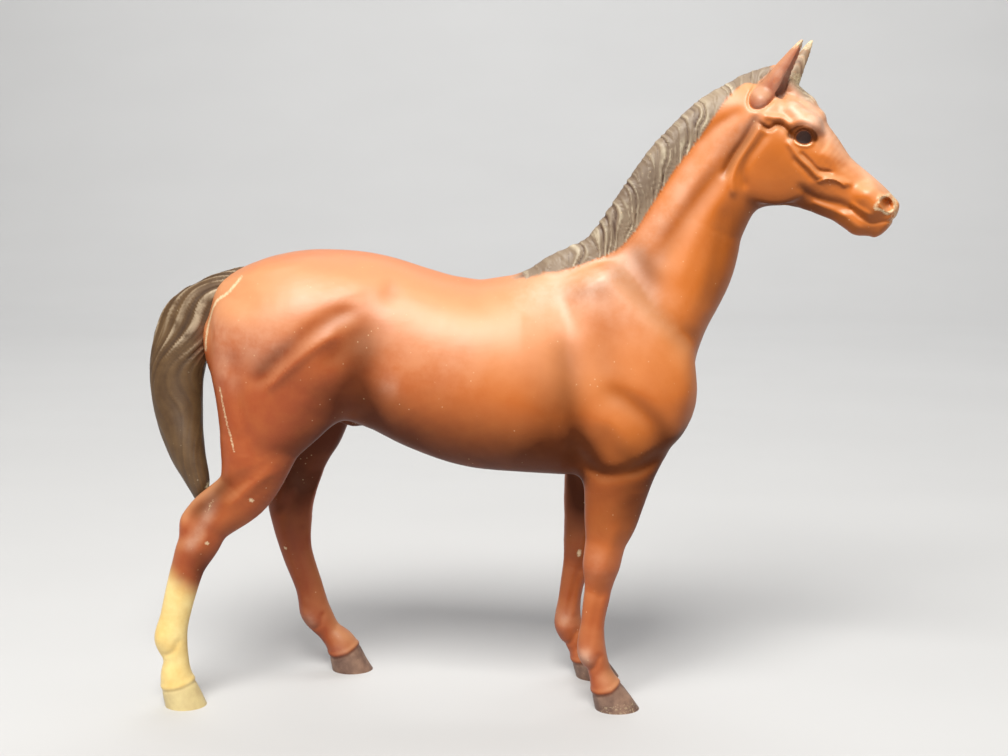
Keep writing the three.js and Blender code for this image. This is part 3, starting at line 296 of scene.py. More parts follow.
# along, drop or height, to the side, depth, width; the fall follows the leg that it meets
DOCK = [
    (0.13, -0.02, 0, 0.66, 0.8),
    (0.08, -0.058, 0, 0.8, 0.86),
    (0.03, -0.118, 0, 0.96, 0.92),
    (-0.034, -0.25, 0.02, 1.12, 1),
]
TAIL_FALL = [
    (-0.06, 0.787, 0.1, 1.06, 1),
    (-0.056, 0.687, 0.35, 0.92, 0.96),
    (-0.036, 0.601, 0.72, 0.7, 0.8),
    (-0.012, 0.533, 0.94, 0.46, 0.6),
    (-0.004, 0.492, 1, 0.24, 0.34),
]
# along the ear, depth, width
EAR = [
    (-0.16, 0.72, 0.9),
    (0.05, 1, 1),
    (0.28, 0.88, 1),
    (0.5, 0.68, 0.8),
    (0.74, 0.46, 0.55),
    (0.92, 0.27, 0.34),
    (0.99, 0.14, 0.18),
]
# where the ears stand and where they point: along, across, to the side
EAR_PLACES = {
    "right": [(-0.15, 0.18, -0.4), (-0.182, 0.63, -0.62)],
    "left": [(-0.08, 0.22, 0.42), (-0.135, 0.61, 0.5)],
}
EAR_LENGTH, EAR_DEPTH, EAR_WIDTH = 19.0, 7.8, 5.4
EAR_HOLLOW, EAR_HOLLOW_AHEAD, EAR_HOLLOW_OUT = 0.55, 0.42, 0.16

# Smooth curves and lofts


def curve_points(points, count):
    """A centripetal Catmull-Rom curve through the points, as count + 1 rows."""
    points = np.array(points, float)
    last = len(points) - 2
    ends = np.vstack([2 * points[0] - points[1], points, 2 * points[-1] - points[-2]])
    rows = []
    for i in range(count + 1):
        at = (len(points) - 1) * i / count
        k = min(int(at), last)
        w = at - k
        p0, p1, p2, p3 = ends[k : k + 4]
        d0, d1, d2 = (
            max(((b - a) ** 2).sum(), 1e-12) ** 0.25
            for a, b in ((p0, p1), (p1, p2), (p2, p3))
        )
        t1 = ((p1 - p0) / d0 - (p2 - p0) / (d0 + d1) + (p2 - p1) / d1) * d1
        t2 = ((p2 - p1) / d1 - (p3 - p1) / (d1 + d2) + (p3 - p2) / d2) * d1
        rows.append(
            p1
            + t1 * w
            + (3 * (p2 - p1) - 2 * t1 - t2) * w**2
            + (2 * (p1 - p2) + t1 + t2) * w**3
        )
    return np.array(rows)


class Loft:
    def __init__(self, stations, cap=0.4, steps=6):
        """Stations are rows of x, y, z, half depth, half width, crown; caps round the bends and ends."""
        rows = np.array(stations, float)
        count = (len(rows) - 1) * steps
        self.at = curve_points(rows[:, :3], count)
        self.size = curve_points(rows[:, 3:], count)
        caps = np.broadcast_to(cap, len(rows))
        self.caps = np.interp(np.arange(count + 1) / steps, np.arange(len(rows)), caps)
        reach = self.size[:, :2].max(1)[:, None]
        self.low, self.high = (self.at - reach).min(0), (self.at + reach).max(0)
        self.run = np.append(
            0, np.cumsum(np.linalg.norm(np.diff(self.at, axis=0), axis=1))
        )

    def distance(self, x, y, z, local=False):
        """Signed distance, near enough, with the angle round the loft and the run along it if asked.

        u, v and w are the place across, beside and ahead, in shares of the half sizes a, b and c there.
        """
        least = None
        for i in range(len(self.at) - 1):
            p, way = self.at[i], self.at[i + 1] - self.at[i]
            flat = math.hypot(way[0], way[2])
            sx, sz = -way[2] / flat, way[0] / flat
            px, py, pz = x - p[0], y - p[1], z - p[2]
            t = np.clip((px * way[0] + py * way[1] + pz * way[2]) / (way @ way), 0, 1)
            (a0, b0, c0), (a1, b1, c1) = self.size[i], self.size[i + 1]
            a = a0 + t * (a1 - a0)
            qx, qy, qz = px - t * way[0], py - t * way[1], pz - t * way[2]
            u = (qx * sx + qz * sz) / a
            b = (b0 + t * (b1 - b0)) * (1 + (c0 + c1) / 2 * np.clip(u, -1, 1))
            v = qy / b
            c = a * np.where(t < 0.5, self.caps[i], self.caps[i + 1])
            w = (qx * sz - qz * sx) / c
            r = np.sqrt(u * u + v * v + w * w)
            g = np.sqrt((u / a) ** 2 + (v / b) ** 2 + (w / c) ** 2)
            d = np.where(g > 1e-9, r * (r - 1) / np.maximum(g, 1e-9), -np.minimum(a, b))
            if least is None:
                least = d
                if local:
                    angle = np.arctan2(v, u)
                    run = self.run[i] + t * (self.run[i + 1] - self.run[i])
            else:
                if local:
                    near = d < least
                    angle = np.where(near, np.arctan2(v, u), angle)
                    run = np.where(
                        near, self.run[i] + t * (self.run[i + 1] - self.run[i]), run
                    )
                least = np.minimum(least, d)
        return (least, angle, run) if local else least


def blended(a, b, blend):
    h = np.maximum(blend - np.abs(a - b), 0)
    return np.minimum(a, b) - h * h / (4 * blend)


def smooth(t):
    t = np.clip(t, 0, 1)
    return t * t * (3 - 2 * t)


def table_loft(rows, at, depth, width, steps=6):
    stations = [(*at(a, c), d * depth / 2, w * width / 2, crown) for a, c, d, w, crown in rows]
    return Loft(stations, steps=steps)


def leg_loft(name):
    side = SIDES[name.split("_")[1]]
    fore = name.startswith("fore")
    spacing = FORE_SPACING if fore else HIND_SPACING
    girths = FORE_GIRTHS if fore else HIND_GIRTHS
    stations = []
    for (along, up, out), (deep, wide) in zip(LEGS[name], girths):
        at = on_trunk if up < 0 and not stations else on_leg
        stations.append((*at(along, up, side * out * spacing / 2), deep / 2, wide / 2, 0))
    caps = [0.4, 0.5, 1] if fore else [0.4, 0.4, 0.7]
    caps += [1] * (len(stations) - 3)
    return Loft(stations, caps, steps=10)


def mane_loft():
    stations = []
    for i, (along, across, out) in enumerate(MANE):
        end = min(1, (i + 1) / 3, (len(MANE) - i) / 3)
        place = on_neck(along, across, out * NECK_WIDTH / 2)
        stations.append((*place, end * MANE_DEPTH / 2, end * MANE_WIDTH / 2, 0))
    return Loft(stations, 1)


WIDE, MIDDLE, TIGHT = 0.14 * DEPTH, 0.1 * DEPTH, 0.08 * HEAD_DEPTH
mane = mane_loft()
tail = Loft(
    [
        (*at(a, d, -out * TAIL_SWING), deep * TAIL_DEPTH / 2, wide * TAIL_WIDTH / 2, 0)
        for at, rows in ((on_trunk, DOCK), (on_leg, TAIL_FALL))
        for a, d, out, deep, wide in rows
    ],
    1,
    16,
)
trunk = Loft(
    [
        (*on_trunk(a, (top + low) / 2), (top - low) * DEPTH / 2, wide * WIDTH / 2, crown)
        for a, top, low, wide, crown in TRUNK
    ],
    steps=12,
)
members = [
    (trunk, WIDE),
    (table_loft(NECK, on_neck, NECK_DEPTH, NECK_WIDTH, 12), WIDE),
    *[(leg_loft(name), MIDDLE) for name in LEGS],
    (table_loft(HEAD, on_head, HEAD_DEPTH, HEAD_WIDTH), 2 * TIGHT),
]
for at, places, spread, deep, wide, blend in SWELLINGS:
    for side in (-1, 1):
        stations = [
            (*at(a, c, side * out * spread / 2), deep / 2, wide / 2, 0)
            for a, c, out in places
        ]
        members.append((Loft(stations, 1), blend))
members.append((Loft([(*on_head(a, c), 3.6, 3.6, 0) for a, c in CHIN], 1), TIGHT))
members.append((Loft([(*on_head(a, c, 0.45), 2.0, 2.7, 0) for a, c in FORELOCK], 1), TIGHT))


def ear_loft(side, scale, ahead, outward, start=0):
    root, tip = (
        np.array(on_head(a, c, out * HEAD_WIDTH / 2)) for a, c, out in EAR_PLACES[side]
    )
    way = (tip - root) / np.linalg.norm(tip - root) * EAR_LENGTH
    stations = []
    for along, deep, wide in EAR[start:]:
        shift = (ahead * deep * EAR_DEPTH, SIDES[side] * outward * wide * EAR_WIDTH, 0)
        size = (scale * deep * EAR_DEPTH / 2, scale * wide * EAR_WIDTH / 2, 0)
        stations.append((*(root + along * way + shift), *size))
    return Loft(stations, 1)


ears = {side: ear_loft(side, 1, 0, 0) for side in SIDES}
ear_hollows = {
    side: ear_loft(side, EAR_HOLLOW, EAR_HOLLOW_AHEAD, EAR_HOLLOW_OUT, 1) for side in SIDES
}

# Ridges and hollows in the side view

# rise, breadth, how far from the middle plane it starts, line
RELIEF = [
    # hindquarter
    (-0.75, 2.8, 8, [(49.5, 126.6), (43.3, 124.2), (37.5, 121.0), (32.3, 116.4), (25.6, 110.3),
        (20.5, 104.5)]),
    (0.45, 1.8, 8, [(44.5, 119.6), (39, 116.4), (33, 111.6), (28.5, 107.6), (24, 103.4)]),
    (-0.8, 3.8, 8, [(55, 121.5), (51, 119), (46, 115.2), (42, 111)]),
    (-0.6, 2.8, 8, [(60.8, 140), (60.6, 134), (60.0, 129)]),
    (0.6, 6.0, 8, [(52, 136), (50.5, 132)]),
    (-0.8, 5.0, 8, [(55, 118), (52, 112), (50.4, 106), (49.6, 97.4), (47.4, 90.8)]),
    (0.4, 4.5, 8, [(42, 108), (36, 101), (33, 94)]),
    (-0.35, 3.4, 7, [(13, 88), (17.3, 84.2), (25.9, 82.0), (36.1, 84.6), (43.9, 90.1)]),
    (-0.4, 2.4, 7, [(12.5, 112), (13.5, 103), (15.4, 94), (17.4, 87)]),
    # barrel
    (-0.35, 7.0, 10, [(64, 118), (68, 106), (76, 96)]),
    # shoulder and arm
    (-0.75, 3.4, 4.8, [(126, 141), (128.5, 138.2), (135.6, 131.0), (142, 124.5), (148.0, 119), (152, 116)]),
    (0.4, 3.2, 4.8, [(123.5, 138.5), (131, 130.5), (138, 123.5), (145, 117.5)]),
    (-0.6, 4.2, 6.5, [(110, 131.6), (112.9, 132.3), (120.5, 132.6), (126.5, 129.7)]),
    (-0.7, 4.8, 4, [(133, 145), (135.5, 141), (138.5, 136.7), (140.7, 131.7)]),
    (0.5, 4.0, 7, [(121.5, 133.1), (119.5, 124), (117.2, 114.1)]),
    (-0.45, 4.6, 7, [(127, 123), (125, 114), (129, 104)]),
    (-1.0, 4.0, 7, [(112.5, 117), (114.0, 110), (115.2, 101.5), (116.4, 92.3), (117.8, 83.1), (121, 78.4)]),
    (-0.7, 2.2, 7, [(115, 86), (117.8, 82), (123.4, 77.4), (129.8, 77.4), (136.4, 79.6), (142.2, 83.5)]),
    (-0.7, 2.6, 0.6, [(133, 78), (137.2, 79.0), (142.9, 82.0), (148, 84.5)]),
    (-0.8, 3.2, 5, [(126, 103), (131.5, 100.5), (135.2, 97.6), (139.3, 94.2), (142, 90.1), (142.6, 84.1)]),
    (0.6, 3.5, 6, [(124, 96), (130, 90), (133, 84)]),
    (0.8, 4.5, 5, [(148, 112), (150.5, 105), (149.5, 97)]),
    # neck
    (-0.85, 3.2, 2.4, [(169.5, 181.0), (164.8, 174), (160.3, 168.6), (153.2, 159.9), (146, 150.3),
        (141, 141)]),
    (0.5, 3.4, 2.4, [(165.5, 165.3), (157.5, 155.8), (151.2, 145.3), (147, 135)]),
    (0.6, 3.2, 2.4, [(158, 171), (150, 161), (143, 150)]),
    (-0.4, 2.4, 2, [(162.2, 156.2), (160.7, 146), (158.6, 136.1), (156.6, 127)]),
    (-0.5, 2.0, 2, [(166.1, 185.4), (161.7, 183), (157.2, 180.6), (152, 176)]),
    # jowl, cheekbone and face
    (0.75, 1.3, 2, [(173.4, 183.4), (171.4, 179.4), (168.2, 174.4), (165.3, 169.6), (164.0, 165),
        (164.6, 160.8)]),
    (-0.6, 1.4, 2, [(174.6, 179.2), (171.9, 175.4), (169.2, 171.6), (167.7, 167.4), (168.2, 163)]),
    (-1.0, 1.4, 2, [(171.3, 183.5), (168.2, 177.4), (164.2, 172), (161.3, 166.6)]),
    (-0.95, 0.8, 3, [(171.9, 182.2), (173.4, 180.8), (175.2, 180.2), (176.9, 181.5), (179.9, 180.3),
        (181.3, 178)]),
    (0.75, 1.1, 3, [(172.8, 184.4), (175.8, 183.6), (178.9, 183.3), (181.0, 181.5)]),
    (0.7, 1.0, 3, [(180.6, 176.4), (181.8, 174.8), (183.9, 171.8), (187.4, 168.8), (189.9, 166.1),
        (193.1, 166.0), (198.9, 164.0)]),
    (-0.55, 0.7, 3, [(184.4, 173.3), (187.1, 170.7), (189.6, 168.2), (193.5, 167.6)]),
    (-0.4, 1.0, 3, [(182.4, 171.6), (185.6, 168.2), (188, 165.4)]),
    (0.6, 0.5, 3, [(189.6, 164.6), (192.0, 165.5), (194.8, 165.3), (197.5, 163.4)]),
    (-0.7, 1.3, 2, [(184.2, 163.4), (187.8, 160.7), (192, 159.2), (196.6, 158.2), (199.6, 156.4)]),
    (0.5, 1.0, 1, [(188.2, 158.6), (193, 156.6), (198, 154.6)]),
    (-0.4, 0.6, 0, [(199.0, 157.0), (200.3, 155.9), (202.9, 153.9), (205.3, 152.6), (208.7, 153.1),
        (213, 153.6)]),
    (0.45, 0.9, 0, [(199.4, 158.4), (202.4, 156.6), (205.4, 154.9)]),
    (0.4, 1.2, 1, [(197.4, 155.2), (200, 152.8), (203, 150.8)]),
    (-0.4, 1.6, 2.5, [(196, 170), (201, 166.3), (205, 163)]),
    (0.4, 1.8, 2.5, [(189.5, 174.5), (194, 171)]),
    # eye socket: hollow above and in front
    (0.55, 1.3, 3, [(179.8, 180.4), (184.0, 182.6), (187.6, 182.0), (190.4, 179)]),
    (-0.4, 1.6, 3, [(178.4, 179.4), (180.0, 184.6), (183.8, 186.8), (188.4, 186.2)]),
    (-0.4, 1.3, 3, [(190.4, 178.4), (191.4, 176.0), (190.2, 173.8)]),
]  # fmt: skip
LEG_RELIEF = {
    "foreleg_right": [
        (-0.4, 3.0, 0, [(135, 68), (132, 58), (129, 48)]),
        (0.45, 2.4, 0, [(129.5, 60), (127.0, 52), (124.4, 44)]),
        (-0.35, 2.4, 0, [(129, 45), (126.5, 38.5), (122.5, 38.5), (120, 44)]),
        (-0.2, 1.0, 0, [(124.6, 38), (122.6, 29), (121.0, 20)]),
        (0.6, 2.2, 0, [(119.4, 19.0), (120.6, 16.0)]),
        (-0.4, 1.0, 0, [(124.5, 18.5), (122.8, 14.2), (119.5, 12.6)]),
    ],
    "foreleg_left": [
        (0.4, 2.4, 0, [(124, 60), (121.4, 52), (119.4, 44)]),
        (-0.35, 2.4, 0, [(124, 45), (121.5, 38.5), (117.5, 38.5), (115, 44)]),
        (-0.3, 1.0, 0, [(118.4, 38), (115.8, 29), (114.0, 20)]),
        (0.2, 0.9, 0, [(120.8, 38), (118.4, 30), (116.6, 22)]),
        (0.6, 2.2, 0, [(112.0, 19.0), (113.0, 16.0)]),
        (-0.4, 1.0, 0, [(117.5, 17.0), (115.4, 12.2), (112.5, 11.0)]),
    ],
    "hindleg_right": [
        (-0.45, 2.6, 0, [(16, 76), (9, 66), (3.6, 60.7), (-0.6, 55.0)]),
        (0.5, 2.6, 0, [(-6.6, 62.0), (-3.6, 58.6)]),
        (-0.4, 1.8, 0, [(1.5, 66.0), (-1.2, 61), (-3.2, 56.5), (-6.5, 53.5)]),
        (0.7, 2.2, 0, [(4.5, 62), (2.4, 56), (0.6, 50)]),
        (0.5, 2.0, 0, [(24, 77), (16, 71), (10, 66)]),
        (-0.2, 1.2, 0, [(-4.5, 43), (-8.2, 34), (-10.4, 25)]),
        (0.55, 2.2, 0, [(-12.8, 24.0), (-13.8, 20.8)]),
        (-0.4, 1.0, 0, [(-7.0, 22.5), (-9.0, 18.4), (-12.2, 17.2)]),
    ],
    "hindleg_left": [
        (-0.45, 2.6, 0, [(37, 76), (31, 66), (27.6, 60.7), (24, 55.0)]),
        (0.5, 2.6, 0, [(18.0, 61.0), (19.8, 57.6)]),
        (-0.4, 1.8, 0, [(25, 66.0), (22.6, 61), (21.2, 56.5), (18.4, 53.5)]),
        (0.6, 2.2, 0, [(28.5, 62), (27.4, 56), (26.6, 50)]),
        (-0.2, 1.2, 0, [(23.0, 43), (25.6, 34), (27.8, 25)]),
        (0.55, 2.2, 0, [(25.8, 21.0), (27.4, 18.0)]),
        (-0.4, 1.0, 0, [(32.8, 20.5), (31.6, 16.0), (29.4, 14.6)]),
    ],
}  # fmt: skip
# the line where the hoof begins, heel to toe
CORONETS = {
    "foreleg_right": [(119.5, 5.2), (124, 5.5), (128.2, 6.6), (132.6, 9.4)],
    "foreleg_left": [(112.6, 5.2), (117.4, 5.3), (122, 6.4), (126.6, 8.6)],
    "hindleg_right": [(-16.5, 5.6), (-12.2, 6.0), (-7.2, 7.0), (-1.6, 8.6)],
    "hindleg_left": [(31.2, 5.4), (36.4, 5.2), (41.0, 6.6), (45.6, 9.4)],
}
EYE, EYE_TURN, EYE_LONG, EYE_HIGH = (185.1, 177.9), math.radians(-12), 2.3, 2.0
NOSTRIL = (209.6, 158.4)
LOBE = (172.6, 190.2)
DABS_A_BREADTH = 1.8


def bell(v):
    return np.exp(-(v * v))


def stroke(x, z, line, breadth):
    """A row of soft dabs along a line of the side view: 1 on the line, fading beside it and at its ends."""
    path = curve_points([(a, 0, c) for a, c in line], 8 * (len(line) - 1))[:, ::2]
    steps = np.linalg.norm(np.diff(path, axis=0), axis=1)
    count = int(max(4, DABS_A_BREADTH * steps.sum() / breadth))
    run = np.append(0, np.cumsum(steps))
    at = (np.arange(count) + 0.5) / count * run[-1]
    dabs = np.stack([np.interp(at, run, path[:, n]) for n in (0, 1)], 1)
    x, z = np.broadcast_arrays(x, z)
    low, high = dabs.min(0) - 3 * breadth, dabs.max(0) + 3 * breadth
    close = (x > low[0]) & (x < high[0]) & (z > low[1]) & (z < high[1])
    near_x, near_z = x[close], z[close]
    total = np.zeros(near_x.shape)
    for a, c in dabs:
        total += np.exp(-((near_x - a) ** 2 + (near_z - c) ** 2) / breadth**2)
    share = np.zeros(x.shape)
    full = breadth * math.sqrt(math.pi) * math.erf(run[-1] / 2 / breadth)
    share[close] = total * (run[-1] / count) / full
    return share


def eye_local(x, z):
    """Along and across the eye's slit."""
    c, s = math.cos(EYE_TURN), math.sin(EYE_TURN)
    dx, dz = x - EYE[0], z - EYE[1]
    return dx * c + dz * s, dz * c - dx * s


def eye_reach(x, z):
    """How far out from the eye's centre, 1 at its edge, and the height above the slit."""
    u, v = eye_local(x, z)
    v = v + 0.05 * u * u
    return np.hypot(u / EYE_LONG, v / EYE_HIGH), v


def ear_lobe(x, z):
    """The rounded foot of the near ear: how far out from its middle, 1 at its edge."""
    dx, dz = x - LOBE[0], z - LOBE[1]
    return np.hypot((0.64 * dx + 0.77 * dz) / 3.9, (0.64 * dz - 0.77 * dx) / 2.7)


def eye_relief(x, z):
    """The ball, the lids round it and the hollow that they lie in."""
    r, v = eye_reach(x, z)
    ball = 0.9 * np.sqrt(np.maximum(1 - (r / 1.02) ** 2, 0))
    lid = bell((r - 1.3) / 0.24) * (0.3 + 0.15 * smooth(v / 1.5))
    return 1.15 * ball + lid - 0.4 * np.exp(-((r / 1.1) ** 4))


def nostril_relief(x, z):
    dx, dz = x - NOSTRIL[0], z - NOSTRIL[1]
    r = np.hypot((0.8 * dx + 0.6 * dz) / 1.25, (0.8 * dz - 0.6 * dx) / 2.0)
    return 0.4 * bell((r - 1.45) / 0.3) - 1.3 * np.exp(-(r**4))


def lobe_relief(x, z):
    r = ear_lobe(x, z)
    return 1.2 * np.maximum(1 - (r / 1.2) ** 2, 0) - 0.4 * bell((r - 1.25) / 0.2)


def relief_maps(xs, zs, extra=()):
    """The relief on a side view's grid, by how far from the middle plane it starts."""
    x, z = xs[:, None], zs[None, :]
    maps = {}
    for rise, breadth, start, line in [*RELIEF, *extra]:
        maps[start] = maps.get(start, 0) + rise * stroke(x, z, line, breadth)
    if xs[-1] > EYE[0]:
        for start, relief in ((1, nostril_relief), (2, lobe_relief), (3, eye_relief)):
            maps[start] = maps.get(start, 0) + relief(x, z)
    return maps


# The mane's strands in the side view


def mane_places(x, z):
    """Along the neck's line, and how far towards its front from the mane's middle line."""
    slope = math.radians(NECK_SLOPE)
    root = on_neck(0, 0)
    dx, dz = x - root[0], z - root[2]
    along = dx * math.cos(slope) + dz * math.sin(slope)
    across = dz * math.cos(slope) - dx * math.sin(slope)
    line = np.array([(a * NECK_LENGTH, c * NECK_LENGTH) for a, c, _ in MANE])
    return along, across - np.interp(along, line[:, 0], line[:, 1])


def mane_strands(x, z):
    """Locks leave the crest square to it and bend down the neck; between them lie finer strands."""
    along, across = mane_places(x, z)
    down = np.clip((4.4 - across) / 9.5, 0, 1.5)
    sway = 0.9 * np.sin(along * 0.31) + 0.5 * np.sin(along * 0.83 + 1.3 + 2 * down)
    sway = sway + 0.6 * np.sin(3.4 * down + along * 0.23) * down
    run = along + 4.5 * down + 9 * down**2 + sway
    part = (run / 3.1 + 0.16 * np.sin(run * 0.61) + 0.1 * np.sin(run * 1.37 + 3 * down)) % 1
    lock = np.where(part < 0.22, smooth(part / 0.22), 1 - smooth((part - 0.22) / 0.78) ** 0.8)
    weight = 0.6 + 0.4 * np.sin(run * 0.47 + 1.1 * np.sin(4 * down + 0.3 * along))
    fine = np.abs(np.sin(np.pi * (run + 0.5 * np.sin(run * 1.7 + 5 * down)) / 1.25))
    return 0.5 * (lock - 0.5) * weight + 0.16 * (fine - 0.6)


def crown_strands(x, y, z):
    """Fine hair of the forelock and of the far ear, that runs down the face."""
    way = y + 0.25 * np.sin(0.9 * x + 0.4 * z)
    return np.abs(np.sin(np.pi * way / 1.15)) * 0.7 + 0.3 * np.abs(np.sin(np.pi * way / 0.47 + 0.8))


# Grids


def grid_lines(stops, parts=3):
    """Coarse lines over stops of (place, cell), and fine ones that split each cell."""
    coarse = [stops[0][0]]
    for (start, cell), (end, _) in zip(stops, stops[1:]):
        while coarse[-1] < end:
            coarse.append(coarse[-1] + cell)
    coarse = np.array(coarse)
    fine = coarse[:-1, None] + np.diff(coarse)[:, None] * np.arange(parts) / parts
    return coarse, np.append(fine.ravel(), coarse[-1])


def grids(*stops):
    """The coarse lines of the three axes, and the fine ones."""
    lines = [grid_lines(rows) for rows in stops]
    return [coarse for coarse, _ in lines], [fine for _, fine in lines]


def refined(values, coarse, fine):
    """Cubic interpolation of a grid from coarse lines to fine ones, an axis at a time."""
    for axis in range(3):
        c, f = coarse[axis], fine[axis]
        cell = np.clip(np.searchsorted(c, f, "right") - 1, 0, len(c) - 2)
        first = np.clip(cell - 1, 0, len(c) - 4)
        values = np.moveaxis(values, axis, 0)
        total = 0
        for k in range(4):
            weight = np.ones(len(f))
            for m in range(4):
                if m != k:
                    weight *= (f - c[first + m]) / (c[first + k] - c[first + m])
            total = total + values[first + k] * weight.astype(np.float32)[:, None, None]
        values = np.moveaxis(total, 0, axis)
    return values


CLAMP = 4.5  # how far out the distances are kept


def on_part(loft, xs, ys, zs, margin, work, values):
    """Runs work(loft distance, values so far) on the part of the grid near the loft."""
    spans = []
    for lines, low, high in zip((xs, ys, zs), loft.low, loft.high):
        i = np.searchsorted(lines, low - margin)
        j = np.searchsorted(lines, high + margin)
        if i >= j:
            return
        spans.append(slice(i, j))
    a, b, c = spans
    x = xs[a, None, None].astype(np.float32)
    y = ys[None, b, None].astype(np.float32)
    z = zs[None, None, c].astype(np.float32)
    own = loft.distance(x, y, z).astype(np.float32)
    values[a, b, c] = work(own, values[a, b, c])


def joined(blend):
    """Work for on_part: runs a loft smoothly into the values."""
    return lambda own, old: blended(old, own, blend)


def hollowed(blend):
    """Work for on_part: takes a loft out of the values."""
    return lambda own, old: -blended(-old, own, blend)


def base_field(xs, ys, zs, chosen):
    values = np.full((len(xs), len(ys), len(zs)), 50, np.float32)
    for loft, blend in chosen:
        on_part(loft, xs, ys, zs, blend + CLAMP, joined(blend), values)
    return np.clip(values, -CLAMP, CLAMP)


def crossings(values, lines, axis):
    """The grid's edges along an axis that the surface crosses: their four cells, place and direction."""
    inside, shape = values < 0, values.shape
    low = [slice(None)] * 3
    high = [slice(None)] * 3
    low[axis], high[axis] = slice(None, -1), slice(1, None)
    index = np.array(np.nonzero(inside[tuple(low)] != inside[tuple(high)]))
    one, two = (axis + 1) % 3, (axis + 2) % 3
    keep = np.ones(index.shape[1], bool)
    for other in (one, two):
        keep &= (index[other] > 0) & (index[other] < shape[other] - 1)
    index = index[:, keep]
    step = np.zeros((3, 1), int)
    step[axis] = 1
    start, end = values[tuple(index)], values[tuple(index + step)]
    place = [lines[n][index[n]] for n in range(3)]
    place[axis] += start / (start - end) * (lines[axis][index[axis] + 1] - place[axis])
    ring = []
    for back_one, back_two in ((1, 1), (0, 1), (0, 0), (1, 0)):
        cell = index.copy()
        cell[one] -= back_one
        cell[two] -= back_two
        ring.append((cell[0] * (shape[1] - 1) + cell[1]) * (shape[2] - 1) + cell[2])
    return np.stack(ring, 1), np.stack(place, 1), start > 0


def surface(values, xs, ys, zs, extras=()):
    """Vertices (one a cell), normals, quads and sampled extras of the surface where values are zero."""
    lines, shape = (xs, ys, zs), values.shape
    parts = [crossings(values, lines, axis) for axis in range(3)]
    ids, places, flips = (np.concatenate(part) for part in zip(*parts))
    cells, quads = np.unique(ids, return_inverse=True)
    quads = quads.reshape(ids.shape)
    counts = np.bincount(quads.ravel(), minlength=len(cells))
    sums = [np.bincount(quads.ravel(), np.repeat(places[:, n], 4), len(cells)) for n in range(3)]
    points = np.stack(sums, 1) / counts[:, None]
    quads[flips] = quads[flips][:, ::-1]
    k = cells % (shape[2] - 1)
    j = cells // (shape[2] - 1) % (shape[1] - 1)
    i = cells // ((shape[2] - 1) * (shape[1] - 1))
    corners = np.array(
        [[[values[i + a, j + b, k + c] for c in (0, 1)] for b in (0, 1)] for a in (0, 1)]
    )
    slopes = []
    for axis, index in enumerate((i, j, k)):
        rise = np.diff(corners, axis=axis).mean((0, 1, 2))
        slopes.append(rise / (lines[axis][index + 1] - lines[axis][index]))
    normals = np.stack(slopes, 1)
    normals /= np.maximum(np.linalg.norm(normals, axis=1), 1e-9)[:, None]
    sampled = [extra[i, j, k] for extra in extras]
    return points, normals, quads, sampled


# Meshes


def turned(points, normals):
    """The neck's bend to the right, from the side view's straight neck."""
    x, y = points[:, 0], points[:, 1]
    angle = np.clip((x - TURN_START) / TURN_RADIUS, 0, TURN)
    radius = y + TURN_RADIUS
    ahead = np.where(x > TURN_START, x - TURN_START - angle * TURN_RADIUS, x - TURN_START)
    s, c = np.sin(angle), np.cos(angle)
    turned_x = TURN_START + radius * s + ahead * c
    turned_y = radius * c - TURN_RADIUS - ahead * s
    nx, ny, nz = normals.T
    moved = np.stack([turned_x, turned_y, points[:, 2]], 1)
    return moved, np.stack([nx * c + ny * s, ny * c - nx * s, nz], 1)


def closed_loops(edges):
    """The closed loops that the edges make. Where loops touch at a vertex, they are told apart."""
    around = {}
    for e in edges:
        for v in e.verts:
            around.setdefault(v, []).append(e)
    unused = dict.fromkeys(edges)
    loops = []
    while unused:
        path = [next(iter(unused)).verts[0]]
        place = {path[0]: 0}
        while path:
            way = [e for e in around[path[-1]] if e in unused]
            if not way:
                break
            del unused[way[0]]
            v = way[0].other_vert(path[-1])
            if v in place:
                start = place[v]
                loops.append(path[start:])
                for passed in path[start + 1 :]:
                    del place[passed]
                path = path[: start + 1]
            else:
                place[v] = len(path)
                path.append(v)
    return [loop for loop in loops if len(loop) > 2]


def cut(bm, faces, place, normal):
    """Cuts the faces with a plane, drops what is on its normal's side, and closes the cut."""
    geom = [
        *dict.fromkeys(v for f in faces for v in f.verts),
        *dict.fromkeys(e for f in faces for e in f.edges),
        *faces,
    ]
    bmesh.ops.bisect_plane(
        bm, geom=geom, dist=1e-3, plane_co=place, plane_no=normal, clear_outer=True
    )
    place, normal = Vector(place), Vector(normal)
    rim = [
        e
        for e in bm.edges
        if e.is_boundary and all(abs((v.co - place) @ normal) < 2e-3 for v in e.verts)
    ]
    for loop in closed_loops(rim):
        for corners in tessellate_polygon([[v.co for v in loop]]):
            face = bm.faces.new([loop[i] for i in corners])
            face.normal_update()
            if face.normal @ normal < 0:
                face.normal_flip()
            face.material_index = 1


def store(mesh, tag, values):
    """Keeps a number, or a vector, for each vertex."""
    kind, field = ("FLOAT_VECTOR", "vector") if values.ndim == 2 else ("FLOAT", "value")
    layer = mesh.attributes.new(tag, kind, "POINT")
    layer.data.foreach_set(field, values.astype(np.float32).ravel())


def read(items, field, width=1, kind=np.float32):
    """A property of all the items, as an array."""
    values = np.zeros(len(items) * width, kind)
    items.foreach_get(field, values)
    return values.reshape(-1, width) if width > 1 else values


def cut_mesh(mesh, cuts):
    bm = bmesh.new()
    bm.from_mesh(mesh)
    for chosen, place, normal in cuts:
        cut(bm, [f for f in bm.faces if chosen(f.calc_center_median())], place, normal)
    loose = [v for v in bm.verts if not v.link_faces]
    bmesh.ops.delete(bm, geom=loose, context="VERTS")
    drop_islands(bm)
    bm.normal_update()
    bm.to_mesh(mesh)
    bm.free()


